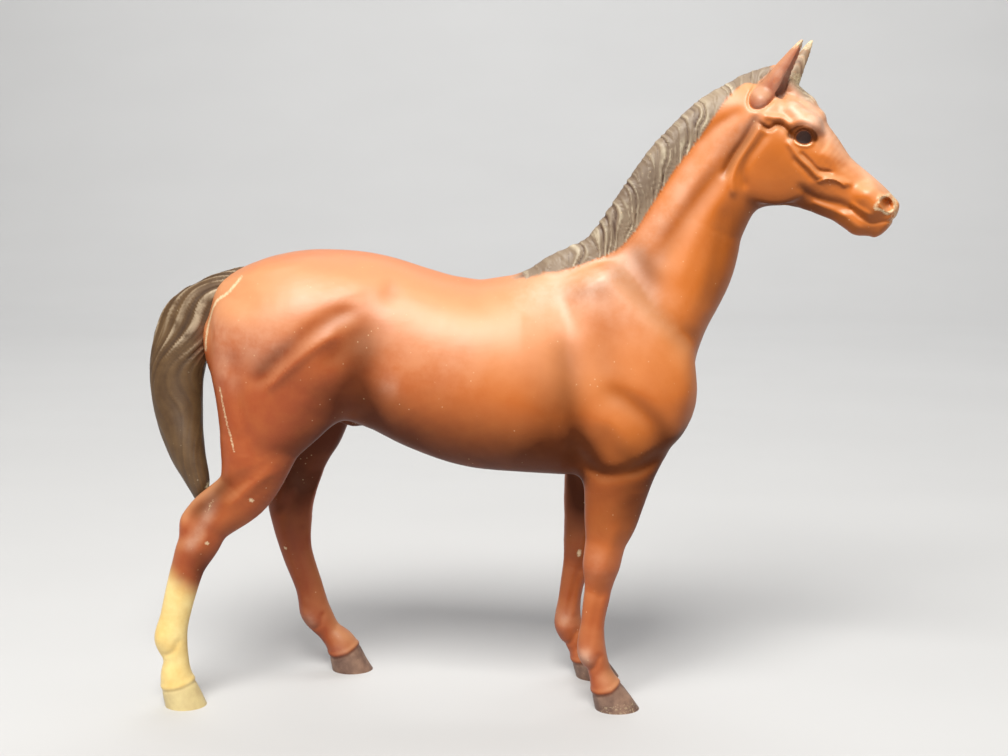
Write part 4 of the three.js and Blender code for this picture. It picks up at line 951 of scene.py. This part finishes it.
def set_normals(mesh, normals):
    """Smooth normals from the field, and flat ones on the cuts, which are marked by material 1."""
    capped = read(mesh.polygons, "material_index", kind=np.int32)
    mesh.polygons.foreach_set("material_index", np.zeros_like(capped))
    mesh.shade_smooth()
    totals = read(mesh.polygons, "loop_total", kind=np.int32)
    flat = np.repeat(read(mesh.polygons, "normal", 3), totals, 0)
    on_cap = np.repeat(capped == 1, totals)[:, None]
    corners = normals[read(mesh.loops, "vertex_index", kind=np.int32)]
    mesh.normals_split_custom_set(np.where(on_cap, flat, corners).tolist())


def build(name, surf, cuts, paint, material):
    """A piece from its surface, cut by planes, bent with the neck, painted and put in the row frame."""
    points, normals, quads, sampled = surf
    mesh = bpy.data.meshes.new(name)
    mesh.from_pydata(points.tolist(), [], quads.tolist())
    carried = {"normal_kept": normals, **{f"sampled_{i}": v for i, v in enumerate(sampled)}}
    for tag, values in carried.items():
        store(mesh, tag, values)
    cut_mesh(mesh, cuts)
    co = read(mesh.vertices, "co", 3).astype(float)
    kept = read(mesh.attributes["normal_kept"].data, "vector", 3)
    kept /= np.maximum(np.linalg.norm(kept, axis=1), 1e-9)[:, None]
    extras = [read(mesh.attributes[f"sampled_{i}"].data, "value") for i in range(len(sampled))]
    for tag, values in paint(*co.T, kept, extras).items():
        store(mesh, tag, np.broadcast_to(values, len(co)))
    for tag in carried:
        mesh.attributes.remove(mesh.attributes[tag])
    moved, kept = turned(co, kept)
    mesh.vertices.foreach_set("co", ((moved + OFFSET) * MM).astype(np.float32).ravel())
    mesh.update()
    set_normals(mesh, kept)
    mesh.materials.append(material)
    piece = bpy.data.objects.new(name, mesh)
    bpy.context.scene.collection.objects.link(piece)
    return piece


def drop_islands(bm):
    """Keeps the largest connected part."""
    seen, best = set(), []
    for start in bm.verts:
        if start in seen:
            continue
        part, stack = [], [start]
        seen.add(start)
        while stack:
            v = stack.pop()
            part.append(v)
            for e in v.link_edges:
                w = e.other_vert(v)
                if w not in seen:
                    seen.add(w)
                    stack.append(w)
        if len(part) > len(best):
            best = part
    keep = set(best)
    bmesh.ops.delete(bm, geom=[v for v in bm.verts if v not in keep], context="VERTS")


# Paint: per-point shares that the materials read

# rows of share, breadth and line in the side view
GIRTH_SHADE = [
    (0.5, 8, [(107, 78), (110, 90), (109, 106)]),
    (0.3, 6.5, [(55, 120), (52, 110), (49, 98), (47, 90)]),
]
THROAT_SHADE = [
    (0.4, 5.5, [(168, 157), (163, 150), (161, 140), (158, 128)]),
    (0.25, 3.5, [(172, 156), (184, 157), (194, 153)]),
    (0.3, 3.5, [(134, 144), (138.5, 138.5), (140, 134)]),
]
FACE_SHADE = [
    (0.3, 0.8, [(188.4, 178.2), (189.4, 176.4)]),
    (0.22, 7, [(176, 172), (181, 168)]),
]
SEAMS = [
    (0.9, 0.75, [(14.3, 136), (10.4, 131.2), (5.9, 127.8), (3.5, 122.5), (2.4, 117.4), (2, 112.1)]),
    (0.75, 0.6, [(7.9, 103.1), (10.1, 92.5), (12, 85.6), (13.1, 79.3)]),
]
# pale pinkish dust over the brow, withers, shoulder and flank, and painted highlights on the quarter and
# the upper barrel
DUST_AND_HIGHLIGHT_STROKES = [
    (0.8, 3.4, [(176, 188), (183, 185.5), (189, 183), (193, 178.5)]),
    (0.5, 4, [(100, 129), (110, 132.6), (120, 135), (128, 139)]),
    (0.35, 8, [(95, 128), (110, 127), (128, 130), (142, 124)]),
    (0.35, 3, [(61, 107), (60, 102)]),
    (0.35, 4, [(7, 124), (9, 112), (12, 103)]),
    (0.4, 7, [(12, 123), (20, 114), (30, 122)]),
    (0.2, 9, [(50, 117), (66, 114), (90, 110)]),
]
PROFILE = [(178, 195), (184, 192), (192.4, 182.4), (198.5, 175), (204.5, 169.2), (211, 164)]
SNOUT = [(210, 163), (212.6, 158.6), (212, 153.5), (210, 151)]
FORELOCK_LINE = [(181.2, 195.4), (183.6, 192.4), (187.0, 188.2)]
POLL_LINE = [(172, 196.6), (177, 196.4), (181, 195)]
WITHERS_LINE = [(98, 134.4), (106, 137.6), (113, 141)]
EAR_PATCH = [(177.5, 189.5), (180.5, 194), (182.5, 198)]
# on the legs: painted shade and smudges, pale dust with painted highlights on the knee, hock and fetlock
# bumps, and chips
LEG_MARKS = {
    "foreleg_right": {
        "shade": [(0.25, 2.5, [(127, 16), (130, 12)])],
        "dust_and_highlight": [
            (0.2, 4, [(122.5, 51), (124, 45)]),
            (0.8, 2.4, [(119.4, 19.5), (120.5, 16)]),
            (0.12, 2.5, [(124, 12), (127, 9)]),
        ],
    },
    "foreleg_left": {
        "rub": [(1, 0.9, [(118.4, 45), (117.9, 42)])],
        "dust_and_highlight": [(0.6, 2.4, [(113, 23), (113.6, 18)])],
    },
    "hindleg_right": {
        "shade": [(0.6, 2.6, [(11, 75), (6.5, 69.5), (2.6, 65.8), (-1.5, 62.6)])],
        "rub": [
            (1, 0.9, [(17.0, 68.3), (17.7, 67.5)]),
            (1, 0.7, [(3.0, 54.7), (3.6, 53.7)]),
            (0.5, 1.2, [(5.6, 68.6), (4.2, 65.4), (3, 62.5)]),
        ],
        "dust_and_highlight": [(0.6, 2, [(5.7, 68.7), (3, 62), (0, 56.5), (-3, 52.5)])],
    },
    "hindleg_left": {
        "rub": [(1, 0.6, [(20.2, 43.3), (21.3, 42.3)])],
        "dust_and_highlight": [
            (0.6, 2.4, [(26.6, 20), (29, 16.5)]),
            (0.4, 2, [(37.5, 8.8), (39.5, 6.5)]),
            (0.35, 3, [(25.5, 70), (27.6, 62)]),
        ],
    },
}
SOCK_TOP, SOCK_SLOPE, SOCK_FADE = 42.5, 0.8, 11.0
EAR_TIPS = 202.0
TAIL_MARKS = {
    "warm": [(1, 2, [(12, 131), (8, 128.5)]), (0.5, 1.6, [(0, 120), (-1, 108)])],
    "rub": [
        (0.95, 1.1, [(4.6, 74), (2.6, 71.1), (1.4, 69)]),
        (0.8, 0.5, [(13.9, 135.2), (8, 129.5), (4.5, 122.5)]),
    ],
}
TAGS = ("sock", "hoof", "rub", "eye", "hair", "strand", "dust_and_highlight")


def strokes(x, z, rows):
    return sum(share * stroke(x, z, line, breadth) for share, breadth, line in rows)


def body_tone(x, z):
    """From orange ahead and above to red-brown behind and on the legs: the coat's own tone, with painted
    shade making the thigh and the lower legs redder and darker.
    """
    tone = np.interp(x, [0, 45, 62, 95, 118, 145, 175], [0.8, 0.75, 0.6, 0.3, 0.3, 0.12, 0])
    tone = tone + 0.25 * smooth((118 - z) / 20) * smooth((60 - x) / 15)
    leg_tone = np.interp(x, [0, 45, 90, 125, 150], [0.85, 0.9, 0.7, 0.5, 0.45])
    low = smooth((84 - z) / 14)
    return tone * (1 - low) + (leg_tone + 0.3 * smooth((60 - z) / 30)) * low


def body_shade(x, y, z, n, leg):
    """Painted shade: darker where the surface faces down, inside the legs, on the forearm and girth, low on
    the thigh, and in the hollows.
    """
    under = smooth((0.2 - n[:, 2]) / 1.05)
    if leg:
        under = under * (1 - 0.55 * smooth((cut_height(leg) - z) / 22))
    shade = under * (0.95 * smooth((150 - z) / 40) + 0.65 * smooth((z - 130) / 20))
    inner = smooth((-np.sign(y) * n[:, 1] - 0.1) / 0.6) * smooth((108 - z) / 20)
    shade = shade + inner * (0.1 + 0.65 * smooth((z - 35) / 40)) * smooth((z - 12) / 20)
    forearm = smooth((96 - z) / 16) * smooth((z - 50) / 14) * smooth((x - 112) / 6)
    shade = shade + forearm * (0.42 + 0.12 * smooth((x - 126) / 8))
    shade = shade + 0.12 * smooth((120 - z) / 8) * smooth((62 - x) / 8)
    shade = shade + strokes(x, z, GIRTH_SHADE)
    for rise, breadth, start, line in [*RELIEF, *LEG_RELIEF.get(leg, [])]:
        if rise < -0.4:
            side = smooth((np.abs(y) - start) / start) if start else 1
            shade = shade + 0.35 * min(1, -rise) * stroke(x, z, line, breadth) * side
    return shade


def body_paint(x, y, z, n, extras, leg=None):
    """Shares for the body's and the legs' materials."""
    paints = {tag: 0 * x for tag in TAGS}
    paints["tone"] = body_tone(x, z)
    shade = body_shade(x, y, z, n, leg)
    if leg:
        # painted shade, darker low on the legs
        shade = leg_marks(paints, shade + 0.12 * smooth((64 - z) / 20), x, z, leg)
    else:
        hair, ear = extras
        right = smooth((1.5 - y) / 3)
        lobe = smooth((1.3 - ear_lobe(x, z)) / 0.3) * smooth((-2 - y) / 2)
        near_ear = np.maximum(ear, lobe) * right
        shade = face_marks(paints, shade, x, y, z, near_ear)
        worn_off = 0.8 * smooth((z - EAR_TIPS) / 2.5) * ear + strokes(x, z, SEAMS) * right
        paints["rub"] = np.clip(paints["rub"] + worn_off, 0, 1)
        shade = hair_marks(paints, shade, x, y, z, hair, ear, near_ear)
    paints["shade"] = np.clip(shade, 0, 1)
    return paints


def leg_marks(paints, shade, x, z, leg):
    """Hoof, sock, smudges, painted shade at the coronet, dust and painted highlights on the bumps, and
    chips. Gives the shade back.
    """
    above = z - np.interp(x, *np.array(CORONETS[leg]).T)
    paints["hoof"] = smooth(0.5 - above / 2.0)
    shade = shade + 0.3 * bell(above)
    if leg == "hindleg_right":
        top = SOCK_TOP - SOCK_SLOPE * (x + 8)
        paints["sock"] = sock = smooth(0.5 + (top - z) / SOCK_FADE)
        front = bell((z - top - 7.0) / 6.0) * smooth((x + 5) / 8)
        shade = shade * (1 - 0.75 * sock) + 0.4 * front * (1 - sock)
    marks = {tag: strokes(x, z, rows) for tag, rows in LEG_MARKS[leg].items()}
    shade = shade + marks.pop("shade", 0)
    paints.update(marks)
    if leg == "foreleg_right":
        paints["rub"] = 0.45 * smooth((5 - z) / 3) * smooth((x - 122) / 4)
    return shade


def snout_wear(x, z):
    """A ragged pale ring round the nostril and down the lips."""
    dx, dz = x - NOSTRIL[0], z - NOSTRIL[1]
    around = np.arctan2(dz, dx)
    reach = np.hypot(dx, dz) * (1 + 0.14 * np.sin(3 * around + 1) + 0.1 * np.sin(5 * around))
    worn = np.maximum(bell((reach - 2.6) / 0.9), 0.85 * stroke(x, z, SNOUT, 2.0))
    return worn * smooth((reach - 1.3) / 0.6)


def face_marks(paints, shade, x, y, z, near_ear):
    """Eyes, worn profile and snout, bands of dust and painted highlight, painted shade on the jowl and
    throat, and the near ear. Gives the shade back.
    """
    flank = smooth((np.abs(y) - 4) / 2)
    u = eye_local(x, z)[0]
    r, v = eye_reach(x, z)
    lids = smooth((1.12 - np.hypot((u + 0.4) / 4.4, (v - 1.0) / 2.3)) / 0.25)
    lids = lids * flank * smooth((v + 1.7) / 0.8)
    rim = bell((r - 1.22) / 0.13) * flank * smooth((-v - 0.7) / 0.6)
    paints["eye"] = smooth((1.08 - r) / 0.2) * flank
    # worn paint and dust down the profile, made paler as painted light on the face's front, with less
    # painted shade on its edge
    face = stroke(x, z, PROFILE, 4.0)
    edge = stroke(x, z, [(a + 1.2, c + 1.2) for a, c in PROFILE], 2.6)
    shade = (shade + 0.95 * lids + strokes(x, z, FACE_SHADE) * flank) * (1 - 0.6 * edge)
    shade = shade + strokes(x, z, THROAT_SHADE)
    paints["rub"] = 0.9 * rim + 0.8 * snout_wear(x, z) + 0.8 * edge * (1 - near_ear)
    across = mane_places(x, z)[1]
    beside = bell((across + 9.5) / 3.5) * smooth((x - 112) / 8) * smooth((176 - x) / 5)
    # pale dust down the face and beside the mane, with painted highlights where the strokes say
    dust_and_highlight = 0.95 * face + 0.5 * beside + strokes(x, z, DUST_AND_HIGHLIGHT_STROKES)
    paints["dust_and_highlight"] = np.clip(dust_and_highlight * (1 - 0.8 * lids) + 0.35 * near_ear, 0, 1)
    paints["tone"] = paints["tone"] + 1.1 * near_ear
    return shade * (1 - 0.8 * near_ear) + (0.24 + 0.7 * stroke(x, z, EAR_PATCH, 1.9)) * near_ear


def hair_marks(paints, shade, x, y, z, hair, ear, near_ear):
    """Mane, forelock, poll and the far ear. Gives the shade back."""
    far_ear = ear * smooth((y + 1.5) / 3)
    middle = smooth((4.4 - np.abs(y)) / 1.5)
    fore = np.maximum(stroke(x, z, FORELOCK_LINE, 2.3), stroke(x, z, POLL_LINE, 2.0)) * middle
    back = stroke(x, z, WITHERS_LINE, 3.6) * smooth((8 - np.abs(y)) / 4)
    strand = np.clip(mane_strands(x, z) / 0.62 + 0.5, 0, 1)
    hair = np.maximum(hair, 0.85 * back)
    ends = bell((hair - 0.4) / 0.2) * smooth((x - 100) / 8)
    shade = shade + 0.8 * ends * (1 - strand) ** 2
    hair = smooth((hair + 0.45 * (strand - 0.5) - 0.2) / 0.4)
    fore = np.maximum(fore, 0.9 * far_ear) * (1 - near_ear)
    paints["hair"] = np.clip(np.maximum(hair * (1 - ear), fore), 0, 1)
    share = smooth((x - 170) / 6) * np.maximum(fore, ear)
    paints["strand"] = strand * (1 - share) + crown_strands(x, y, z) * share
    return shade


# Materials


ORANGE, RED_BROWN, PALE_ORANGE = (206, 110, 28), (176, 80, 32), (216, 128, 60)
LIT, DUST_AND_HIGHLIGHT_PINK, SHADED = (228, 170, 122), (232, 190, 164), (62, 24, 8)
CREAM, CREAM_DARK, CREAM_SHADED = (248, 222, 150), (232, 196, 118), (190, 134, 66)
HOOF, HOOF_PALE, HOOF_SHADED = (112, 84, 72), (168, 134, 112), (58, 34, 28)
TAN_HOOF, TAN_HOOF_DARK = (226, 206, 148), (204, 180, 128)
HAIR, HAIR_PALE, HAIR_DARK, HAIR_BRUSHED_HIGHLIGHT = (120, 101, 83), (154, 134, 110), (86, 64, 50), (226, 212, 182)
EYE_RIM, EYE_DARK = (98, 52, 42), (54, 38, 34)
WORN, SPECK = (236, 216, 174), (236, 204, 160)
UMBER, UMBER_PALE, UMBER_DARK, UMBER_BRUSHED_HIGHLIGHT = (84, 60, 36), (106, 80, 50), (52, 34, 24), (222, 202, 172)
UMBER_WARM, UMBER_WORN, UMBER_SPECK = (136, 80, 56), (232, 220, 176), (206, 190, 160)


def colour(rgb):
    """An sRGB colour, 0 to 255, as the shader wants it."""
    shares = (c / 255 for c in rgb)
    return (*(c / 12.92 if c <= 0.04045 else ((c + 0.055) / 1.055) ** 2.4 for c in shares), 1)


class Tree:
    """Short calls for a material's nodes."""

    def __init__(self, name):
        self.material = bpy.data.materials.new(name)
        self.material.use_nodes = True
        self.nodes = self.material.node_tree.nodes
        self.links = self.material.node_tree.links
        self.shader = self.nodes["Principled BSDF"]

    def put(self, socket, value):
        if isinstance(value, bpy.types.NodeSocket):
            self.links.new(value, socket)
        else:
            socket.default_value = value

    def share(self, name):
        node = self.nodes.new("ShaderNodeAttribute")
        node.attribute_name = name
        return node.outputs["Fac"]

    def math(self, operation, a, b, clamp):
        node = self.nodes.new("ShaderNodeMath")
        node.operation = operation
        node.use_clamp = clamp
        self.put(node.inputs[0], a)
        self.put(node.inputs[1], b)
        return node.outputs[0]

    def times(self, a, b, clamp=False):
        return self.math("MULTIPLY", a, b, clamp)

    def plus(self, a, b, clamp=False):
        return self.math("ADD", a, b, clamp)

    def less(self, a, b, clamp=False):
        return self.math("SUBTRACT", a, b, clamp)

    def mix(self, share, a, b):
        node = self.nodes.new("ShaderNodeMix")
        node.data_type = "RGBA"
        self.put(node.inputs[0], share)
        self.put(node.inputs[6], a)
        self.put(node.inputs[7], b)
        return node.outputs[2]

    def mottled(self, noise, low, high, first, second):
        """Two colours that the noise mixes."""
        return self.mix(self.span(noise, low, high), colour(first), colour(second))

    def over(self, base, share, rgb, strength):
        """A colour laid over the base where the share says."""
        return self.mix(self.times(share, strength), base, colour(rgb))

    def noise(self, scale, detail=3.0, rough=0.5):
        node = self.nodes.new("ShaderNodeTexNoise")
        self.put(node.inputs["Vector"], self.place())
        node.inputs["Scale"].default_value = scale
        node.inputs["Detail"].default_value = detail
        node.inputs["Roughness"].default_value = rough
        return node.outputs["Fac"]

    def place(self):
        return self.nodes.new("ShaderNodeTexCoord").outputs["Object"]

    def grained(self, grain, cloud):
        """A fine bump of the paint."""
        bump = self.nodes.new("ShaderNodeBump")
        bump.inputs["Strength"].default_value = 0.2
        bump.inputs["Distance"].default_value = 0.00012
        self.put(bump.inputs["Height"], self.plus(self.times(grain, 0.5), cloud))
        self.put(self.shader.inputs["Normal"], bump.outputs["Normal"])

    def specks(self, scale, size):
        """1 inside scattered specks, 0 between them."""
        node = self.nodes.new("ShaderNodeTexVoronoi")
        self.put(node.inputs["Vector"], self.place())
        node.inputs["Scale"].default_value = scale
        return self.span(node.outputs["Distance"], size, 0.4 * size)

    def span(self, value, start, end):
        """0 at start, 1 at end, straight between them."""
        node = self.nodes.new("ShaderNodeMapRange")
        self.put(node.inputs["Value"], value)
        node.inputs["From Min"].default_value = start
        node.inputs["From Max"].default_value = end
        return node.outputs[0]


def coat(t, broad, cloud, shade):
    """Chestnut: redder behind, with painted light where it faces up, dust and painted highlights in places,
    and painted shade.
    """
    tone = t.plus(t.share("tone"), t.times(t.less(broad, 0.5), 0.7), True)
    base = t.mix(tone, colour(ORANGE), colour(RED_BROWN))
    base = t.over(base, t.span(cloud, 0.4, 0.75), PALE_ORANGE, 0.25)
    normal = t.nodes.new("ShaderNodeNewGeometry").outputs["Normal"]
    upward = t.nodes.new("ShaderNodeSeparateXYZ")
    t.put(upward.inputs[0], normal)
    # painted light: paler where the surface faces up, a little less so on the very top
    lit = t.times(t.span(upward.outputs[2], 0.0, 0.6), 0.6, True)
    crest = t.times(t.span(upward.outputs[2], 0.7, 1.0), 0.35, True)
    base = t.mix(t.less(lit, crest, True), base, colour(LIT))
    # pale pinkish dust, and painted highlights where the share says
    dust_and_highlight = t.times(t.share("dust_and_highlight"), t.span(cloud, 0.2, 0.6), True)
    base = t.over(base, dust_and_highlight, DUST_AND_HIGHLIGHT_PINK, 0.75)
    return t.over(base, shade, SHADED, 0.9)


def socks_and_hooves(t, base, cloud, shade):
    cream = t.over(t.mottled(cloud, 0.3, 0.7, CREAM, CREAM_DARK), shade, CREAM_SHADED, 0.5)
    base = t.mix(t.share("sock"), base, cream)
    dark = t.over(t.mottled(cloud, 0.35, 0.7, HOOF, HOOF_PALE), shade, HOOF_SHADED, 0.55)
    tan = t.mottled(cloud, 0.35, 0.7, TAN_HOOF, TAN_HOOF_DARK)
    return t.mix(t.share("hoof"), base, t.mix(t.share("sock"), dark, tan))


def mane_colour(t, broad, cloud):
    strand = t.share("strand")
    ground = t.mottled(broad, 0.35, 0.65, HAIR, HAIR_PALE)
    hair = t.mix(t.span(strand, 0.05, 0.35), colour(HAIR_DARK), ground)
    # pale on the ridges: dry-brushed paint and painted highlight
    brushed_highlight = t.times(t.span(strand, 0.55, 1.0), t.span(cloud, 0.3, 0.65))
    return t.over(hair, brushed_highlight, HAIR_BRUSHED_HIGHLIGHT, 0.8)


def worn(t, base, grain, ragged, full, strength, rgb):
    """Rubs down to the plastic, ragged by the grain."""
    rub = t.plus(t.share("rub"), t.times(t.less(grain, 0.5), ragged))
    return t.over(base, t.span(rub, 0.45, full), rgb, strength)


def dusted(t, base, cloud, strength, rgb):
    dust = t.times(t.specks(420, 0.12), t.span(cloud, 0.5, 0.62))
    return t.over(base, dust, rgb, strength)


def painted(name):
    """Satin paint on plastic: chestnut with painted shade and painted light, hair, sock, hooves, eyes and
    rubs.
    """
    t = Tree(name)
    broad, cloud, grain = t.noise(45, 3), t.noise(160, 4, 0.6), t.noise(1500, 3, 0.6)
    shade = t.times(t.share("shade"), t.plus(0.7, t.times(broad, 0.6)), True)
    base = socks_and_hooves(t, coat(t, broad, cloud, shade), cloud, shade)
    base = t.mix(t.share("hair"), base, mane_colour(t, broad, cloud))
    base = worn(t, base, grain, 1.2, 0.9, 0.75, WORN)
    base = dusted(t, base, cloud, 0.45, SPECK)
    eye = t.share("eye")
    base = t.mix(eye, base, t.mottled(eye, 0.2, 0.95, EYE_RIM, EYE_DARK))
    t.put(t.shader.inputs["Base Color"], base)
    rough = t.plus(0.36, t.times(cloud, 0.14))
    rough = t.plus(rough, t.times(t.share("hair"), 0.1))
    rough = t.less(rough, t.times(eye, 0.28), True)
    t.put(t.shader.inputs["Roughness"], rough)
    t.put(t.shader.inputs["Specular IOR Level"], t.less(0.55, t.times(shade, 0.45)))
    t.grained(grain, cloud)
    return t.material


def tail_painted():
    """Dark umber, darker in the furrows, with dry-brushed cream and painted highlight on the ridges,
    strongest near the dock where light falls from above.
    """
    t = Tree("tail_paint")
    cloud, grain = t.noise(160, 4, 0.6), t.noise(1500, 3, 0.6)
    base = t.mottled(cloud, 0.3, 0.7, UMBER, UMBER_PALE)
    strand = t.share("strand")
    furrow = t.less(1.0, t.span(strand, 0.1, 0.5), True)
    base = t.over(base, furrow, UMBER_DARK, 0.65)
    brushed_highlight = t.times(t.span(strand, 0.5, 1.0), t.share("brushed_highlight"))
    brushed_highlight = t.times(brushed_highlight, t.span(cloud, 0.32, 0.52))
    base = t.over(base, brushed_highlight, UMBER_BRUSHED_HIGHLIGHT, 0.9)
    base = t.over(base, t.share("warm"), UMBER_WARM, 0.6)
    base = worn(t, base, grain, 1.0, 0.85, 0.85, UMBER_WORN)
    base = dusted(t, base, cloud, 0.4, UMBER_SPECK)
    t.put(t.shader.inputs["Base Color"], base)
    t.put(t.shader.inputs["Roughness"], t.plus(0.4, t.times(cloud, 0.14)))
    t.shader.inputs["Specular IOR Level"].default_value = 0.45
    t.grained(grain, cloud)
    return t.material


chestnut = painted("chestnut_paint")
leg_paint = painted("leg_paint")
tail_paint = tail_painted()

# The pieces


def add_relief(values, xs, ys, zs, extra=()):
    for start, height in relief_maps(xs, zs, extra).items():
        side = smooth((np.abs(ys) - start) / max(start, 1)) if start else np.ones(len(ys))
        values -= height.astype(np.float32)[:, None, :] * side.astype(np.float32)[None, :, None]


def ear_mask(own, old):
    return np.maximum(old, smooth((0.9 - own) / 0.7))


def shell_surface():
    """The trunk, neck and head with mane, ears and sheath."""
    scale = 1.06
    broad, middle, small = 2.1 * scale, 1.5 * scale, 1.05 * scale
    coarse, fine = grids(
        [(-9, broad), (108, middle), (163, small), (219, 1)],
        [(-30.6, 1.35 * scale), (30.6, 1)],
        [(68, broad), (130, middle), (147, small), (210, 1)],
    )
    xs, ys, zs = fine
    values = refined(base_field(*coarse, members), coarse, fine)
    lock = np.full([len(c) for c in coarse], CLAMP, np.float32)
    on_part(mane, *coarse, CLAMP, lambda own, old: np.minimum(old, own), lock)
    lock = refined(np.clip(lock, -CLAMP, CLAMP), coarse, fine)
    ends = smooth((xs - 92) / 6) * smooth((176 - xs) / 4)
    hair = smooth(0.75 - (lock - values) / 1.6) * ends.astype(np.float32)[:, None, None]
    add_relief(values, xs, ys, zs)
    values = blended(values, lock, TIGHT)
    values -= hair * mane_strands(xs[:, None], zs[None, :]).astype(np.float32)[:, None, :]
    ear = np.zeros_like(values)
    for side in SIDES:
        on_part(ears[side], xs, ys, zs, 2, ear_mask, ear)
        on_part(ears[side], xs, ys, zs, 2.5, joined(1.6), values)
        on_part(ear_hollows[side], xs, ys, zs, 2.5, hollowed(0.5), values)
    on_part(Loft(SHEATH, 1), xs, ys, zs, 3, joined(2.0), values)
    return surface(values, xs, ys, zs, [hair, ear])


def leg_surface(name):
    """A leg with its joints, hoof and coronet band, to above its cut."""
    cell = 1.2
    low, high = (108, 152) if name.startswith("fore") else (-24, 58)
    inner, outer = (-30.0, 2.4) if SIDES[name.split("_")[1]] < 0 else (-2.4, 30.0)
    coarse, fine = grids(
        [(low, cell), (high, 1)],
        [(inner, cell), (outer, 1)],
        [(-2.4, cell), (cut_height(name) + 3, 1)],
    )
    xs, ys, zs = fine
    values = refined(base_field(*coarse, members), coarse, fine)
    add_relief(values, xs, ys, zs, LEG_RELIEF[name])
    above = zs[None, :] - np.interp(xs, *np.array(CORONETS[name]).T)[:, None]
    band = 0.28 * bell(above - 0.7) - 0.2 * bell((above + 0.5) / 0.6)
    values -= band.astype(np.float32)[:, None, :]
    return surface(values, xs, ys, zs)


def tail_strands(angle, run):
    """Locks and finer strands that wind a little round the tail."""
    turn = angle + 0.012 * run + 0.36 * np.sin(run * 0.19 + 0.8 * angle)
    part = (turn * 13 / np.pi / 2 + 0.2 * np.sin(3 * turn)) % 1
    lock = np.where(part < 0.3, smooth(part / 0.3), 1 - smooth((part - 0.3) / 0.7) ** 0.8)
    fine_lock = np.abs(np.sin(turn * 14 + 0.5 * np.sin(run * 0.3)))
    weight = 0.65 + 0.35 * np.sin(5 * turn + 0.09 * run)
    return 0.5 * (lock - 0.5) * weight + 0.12 * (fine_lock - 0.6)


def tail_surface():
    """The tail, cut where it sits on the rump and held off the skin below that."""
    cell = 1.2
    coarse, fine = grids(
        [(-22, cell), (26, 1)],
        [(-20, cell), (10, 1)],
        [(62, cell), (142, 1)],
    )
    skin = refined(base_field(*coarse, members), coarse, fine)
    x, y, z = (a.astype(np.float32) for a in np.ix_(*fine))
    own, angle, run = tail.distance(x, y, z, True)
    strand = tail_strands(angle, run)
    own = own - strand * smooth((run - 2) / 6) * (0.2 + 0.8 * smooth((52 - run) / 22))
    top, bottom = np.array(on_trunk(0.085, 0.06)), np.array(on_trunk(0.012, -0.33))
    way = (top - bottom) / np.linalg.norm(top - bottom)
    up = (x - bottom[0]) * way[0] + (z - bottom[2]) * way[2]
    into = (x - bottom[0]) * way[2] - (z - bottom[2]) * way[0]
    own = np.where(up > 0, np.maximum(own, into), np.maximum(own, 0.15 - skin))
    own = np.clip(own, -CLAMP, CLAMP).astype(np.float32)
    return surface(own, *fine, [strand, run.astype(np.float32) + 0 * own])


def tail_coat(x, y, z, n, extras):
    strand, run = extras
    top = smooth((52 - run) / 22)
    return {
        "strand": np.clip(strand / 0.7 + 0.5, 0, 1) * (0.35 + 0.65 * top) + 0.2 * (1 - top),
        # dry-brushed paint and painted highlight, strongest near the dock
        "brushed_highlight": 0.15 + 0.85 * smooth((46 - run) / 14),
        **{tag: strokes(x, z, rows) for tag, rows in TAIL_MARKS.items()},
    }


def everywhere(centre):
    return True


def front(centre):
    return centre.x > BETWEEN


def rear(centre):
    return centre.x <= BETWEEN


def make_pieces():
    """The pieces by the node that each stands for."""
    made = {}
    shell = shell_surface()
    for side, sign in SIDES.items():
        cuts = [
            (everywhere, (0, 0, 0), (0, -sign, 0)),
            (front, (0, 0, FORE_CUT), (0, 0, -1)),
            (rear, (0, 0, HIND_CUT), (0, 0, -1)),
        ]
        made[f"body_shell_{side}"] = build(f"body_{side}", shell, cuts, body_paint, chestnut)
    for name in LEGS:
        sign = SIDES[name.split("_")[1]]
        cuts = [
            (everywhere, (0, 0, cut_height(name)), (0, 0, 1)),
            (everywhere, (0, 0, 0), (0, 0, -1)),
            (everywhere, (0, 0, 0), (0, -sign, 0)),
        ]
        paint = partial(body_paint, leg=name)
        made[name] = build(f"{name}_painted", leg_surface(name), cuts, paint, leg_paint)
    made["tail"] = build("tail_hair", tail_surface(), [], tail_coat, tail_paint)
    return made


for node, piece in make_pieces().items():
    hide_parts(node)
    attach(piece, "root")
